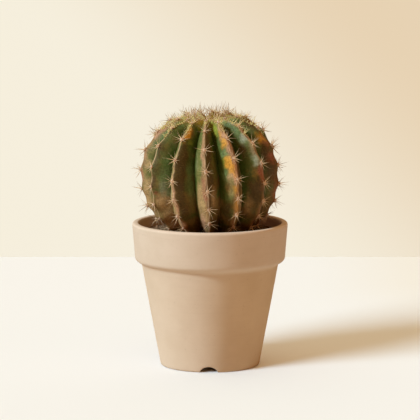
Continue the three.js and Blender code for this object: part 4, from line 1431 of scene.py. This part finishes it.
class CACTUS_OT_wool(PieceOperator, bpy.types.Operator):
    """Makes what fills the crown: tufts of felt, wool and loose young spines"""

    bl_idname = "potted_cactus.wool"
    bl_label = "Crown wool"

    def execute(self, context):
        depth = context.scene.cactus_plant.furrow_depth
        random = np.random.default_rng(CROWN_SEED)
        self.felt(depth, random)
        self.wool(depth, random)
        self.young_spines(depth, random)
        return {"FINISHED"}

    def felt(self, depth, random):
        """Small lumps of felt, smaller near the growing point."""
        place, out, grown = crown_places(CROWN_TUFTS, 20, 34, 0.09, depth, random)
        side, _ = across_pair(out)
        size = MM * random.uniform(0.3, 0.6, (CROWN_TUFTS, 3)) * grown[:, None]
        felt = felt_material("crown_felt", (0.68, 0.54, 0.11))
        lumps("crown_felt", place, out, side, size, random, felt, "plant",
              rough=0.2, rings=4, sides=8)

    def wool(self, depth, random):
        """Short hairs that lean every way."""
        count = CROWN_WOOL
        place, out, grown = crown_places(count, 22, 42, 0.10, depth, random)
        way = unit(out + 0.8 * random.normal(size=(count, 3)))
        wool = strand_material("wool", (0.90, 0.66, 0.22), (1.0, 0.80, 0.36), (0.32, 0.22, 0.03),
                               0.85)
        bend = 0.3 * random.normal(size=(count, 3))
        length = MM * random.uniform(1.0, 3.2, count) * grown
        strands("crown_wool", place, way, bend, length, np.full(count, 0.11 * MM),
                random.uniform(0, 1, count), wool, "plant", rings=3, sides=3, taper=0.6)

    def young_spines(self, depth, random):
        """Golden spines on the crests, none of them close to the growing point."""
        place, out, grown = crown_places(CROWN_SPINES, 10, 44, 0.02, depth, random)
        place, out = place[grown > 0.5], out[grown > 0.5]
        count = len(place)
        way = unit(out + 0.55 * random.normal(size=(count, 3)))
        straw = strand_material("young_spine", (1.0, 0.80, 0.30), (0.56, 0.38, 0.11),
                                (0.26, 0.17, 0.04), 0.5)
        bend = 0.08 * random.normal(size=(count, 3))
        length = MM * random.uniform(3, 7.5, count)
        strands("crown_spines", place, way, bend, length, np.full(count, 0.16 * MM),
                random.uniform(0, 0.8, count), straw, "plant", rings=4, sides=5, taper=0.75)


class CACTUS_OT_stage(PieceOperator, bpy.types.Operator):
    """Makes the floor, the light and the camera"""

    bl_idname = "potted_cactus.stage"
    bl_label = "Stage"

    def execute(self, context):
        settings = context.scene.cactus_stage
        floor = self.floor(settings)
        key = (settings.key_azimuth, settings.key_elevation)
        self.sun("key", KEY_COLOUR, settings.key_strength, key, KEY_WIDTH, floor, "EXCLUDE")
        shadow = (settings.shadow_azimuth, settings.shadow_elevation)
        self.sun("floor_key", FLOOR_KEY_COLOUR, FLOOR_KEY_SHARE * settings.key_strength, shadow,
                 FLOOR_KEY_WIDTH, floor, "INCLUDE")
        self.surroundings(context.scene)
        self.camera(context.scene, settings)
        context.scene.view_settings.view_transform = "Standard"
        return {"FINISHED"}

    def floor(self, settings):
        """One wide level sheet, whose back edge is the line behind the pot."""
        side = FLOOR_SIDE
        points = np.array([[-side, -side, 0], [side, -side, 0], [side, FLOOR_BACK, 0],
                           [-side, FLOOR_BACK, 0]])
        mesh = mesh_from("floor", points, [np.array([[0, 1, 2, 3]])])
        floor = link_mesh("floor", mesh, floor_material(settings.floor), None)
        return floor

    def sun(self, name, colour, energy, direction, width, floor, state):
        """A soft, distant light from the left front. It lights the floor alone if the state is
        INCLUDE, and everything but the floor if it is EXCLUDE."""
        light = bpy.data.lights.new(name, "SUN")
        light.color = colour
        light.energy = energy
        light.angle = math.radians(width)
        lamp = bpy.data.objects.new(name, light)
        azimuth, elevation = direction
        lamp.rotation_euler = (math.pi / 2 - elevation, 0, -azimuth)
        bpy.context.scene.collection.objects.link(lamp)
        receivers = bpy.data.collections.new(name)
        receivers.objects.link(floor)
        receivers.collection_objects[0].light_linking.link_state = state
        lamp.light_linking.receiver_collection = receivers

    def surroundings(self, scene):
        """Soft light from all sides: the sum, over the six axes, of an axis' colour times the
        square of the direction's part along it. The camera sees a cream wall that turns to tan
        towards the upper right."""
        world = bpy.data.worlds.new("surroundings")
        scene.world = world
        g = Graph(world)
        parts = g.parts(g.add("ShaderNodeTexCoord").outputs["Generated"])
        glow = None
        for axis, sign, colour in SURROUNDINGS:
            part = g.math("MAXIMUM", g.times(parts[axis], sign), 0.0)
            share = g.mix(g.times(part, part), (0, 0, 0), colour)
            glow = g.mix(1.0, glow, share, "ADD") if glow else share
        wall = g.mix(g.span(g.plus(parts["X"], parts["Z"]), *WALL_TURN), WALL_CREAM, WALL_TAN)
        seen = g.add("ShaderNodeLightPath").outputs["Is Camera Ray"]
        background = g.add("ShaderNodeBackground", {"Color": g.mix(seen, glow, wall)})
        output = g.add("ShaderNodeOutputWorld")
        g.tree.links.new(background.outputs[0], output.inputs["Surface"])

    def camera(self, scene, settings):
        """The camera in front, a little above the pot, tilted down a little."""
        camera = bpy.data.cameras.new("camera")
        camera.lens = settings.lens
        camera.clip_end = 30
        holder = bpy.data.objects.new("camera", camera)
        holder.location = CAMERA_PLACE
        holder.rotation_euler = (math.radians(CAMERA_TILT), 0, 0)
        scene.collection.objects.link(holder)
        scene.camera = holder


class CACTUS_PT_pieces(bpy.types.Panel):
    """Lists the sizes, the colours and the pieces."""

    bl_label = "Potted round cactus"
    bl_idname = "CACTUS_PT_pieces"
    bl_space_type = "VIEW_3D"
    bl_region_type = "UI"
    bl_category = "Cactus"

    def draw(self, context):
        for group in (context.scene.cactus_pot, context.scene.cactus_plant,
                      context.scene.cactus_stage):
            box = self.layout.box()
            for name in group.__annotations__:
                box.prop(group, name)
        for operator in OPERATORS:
            self.layout.operator(operator.bl_idname)


OPERATORS = (CACTUS_OT_pot, CACTUS_OT_soil, CACTUS_OT_skin, CACTUS_OT_pads, CACTUS_OT_spines,
             CACTUS_OT_wool, CACTUS_OT_stage)
CLASSES = (PotSettings, PlantSettings, StageSettings, *OPERATORS, CACTUS_PT_pieces)


def register():
    """Registers the classes and the settings."""
    for cls in CLASSES:
        bpy.utils.register_class(cls)
    bpy.types.Scene.cactus_pot = bpy.props.PointerProperty(type=PotSettings)
    bpy.types.Scene.cactus_plant = bpy.props.PointerProperty(type=PlantSettings)
    bpy.types.Scene.cactus_stage = bpy.props.PointerProperty(type=StageSettings)


def unregister():
    """Takes them away again."""
    del bpy.types.Scene.cactus_stage, bpy.types.Scene.cactus_plant, bpy.types.Scene.cactus_pot
    for cls in reversed(CLASSES):
        bpy.utils.unregister_class(cls)


def main():
    """Makes every piece and the stage."""
    register()
    for operator in OPERATORS:
        group, name = operator.bl_idname.split(".")
        getattr(getattr(bpy.ops, group), name)()


if __name__ == "__main__":
    main()
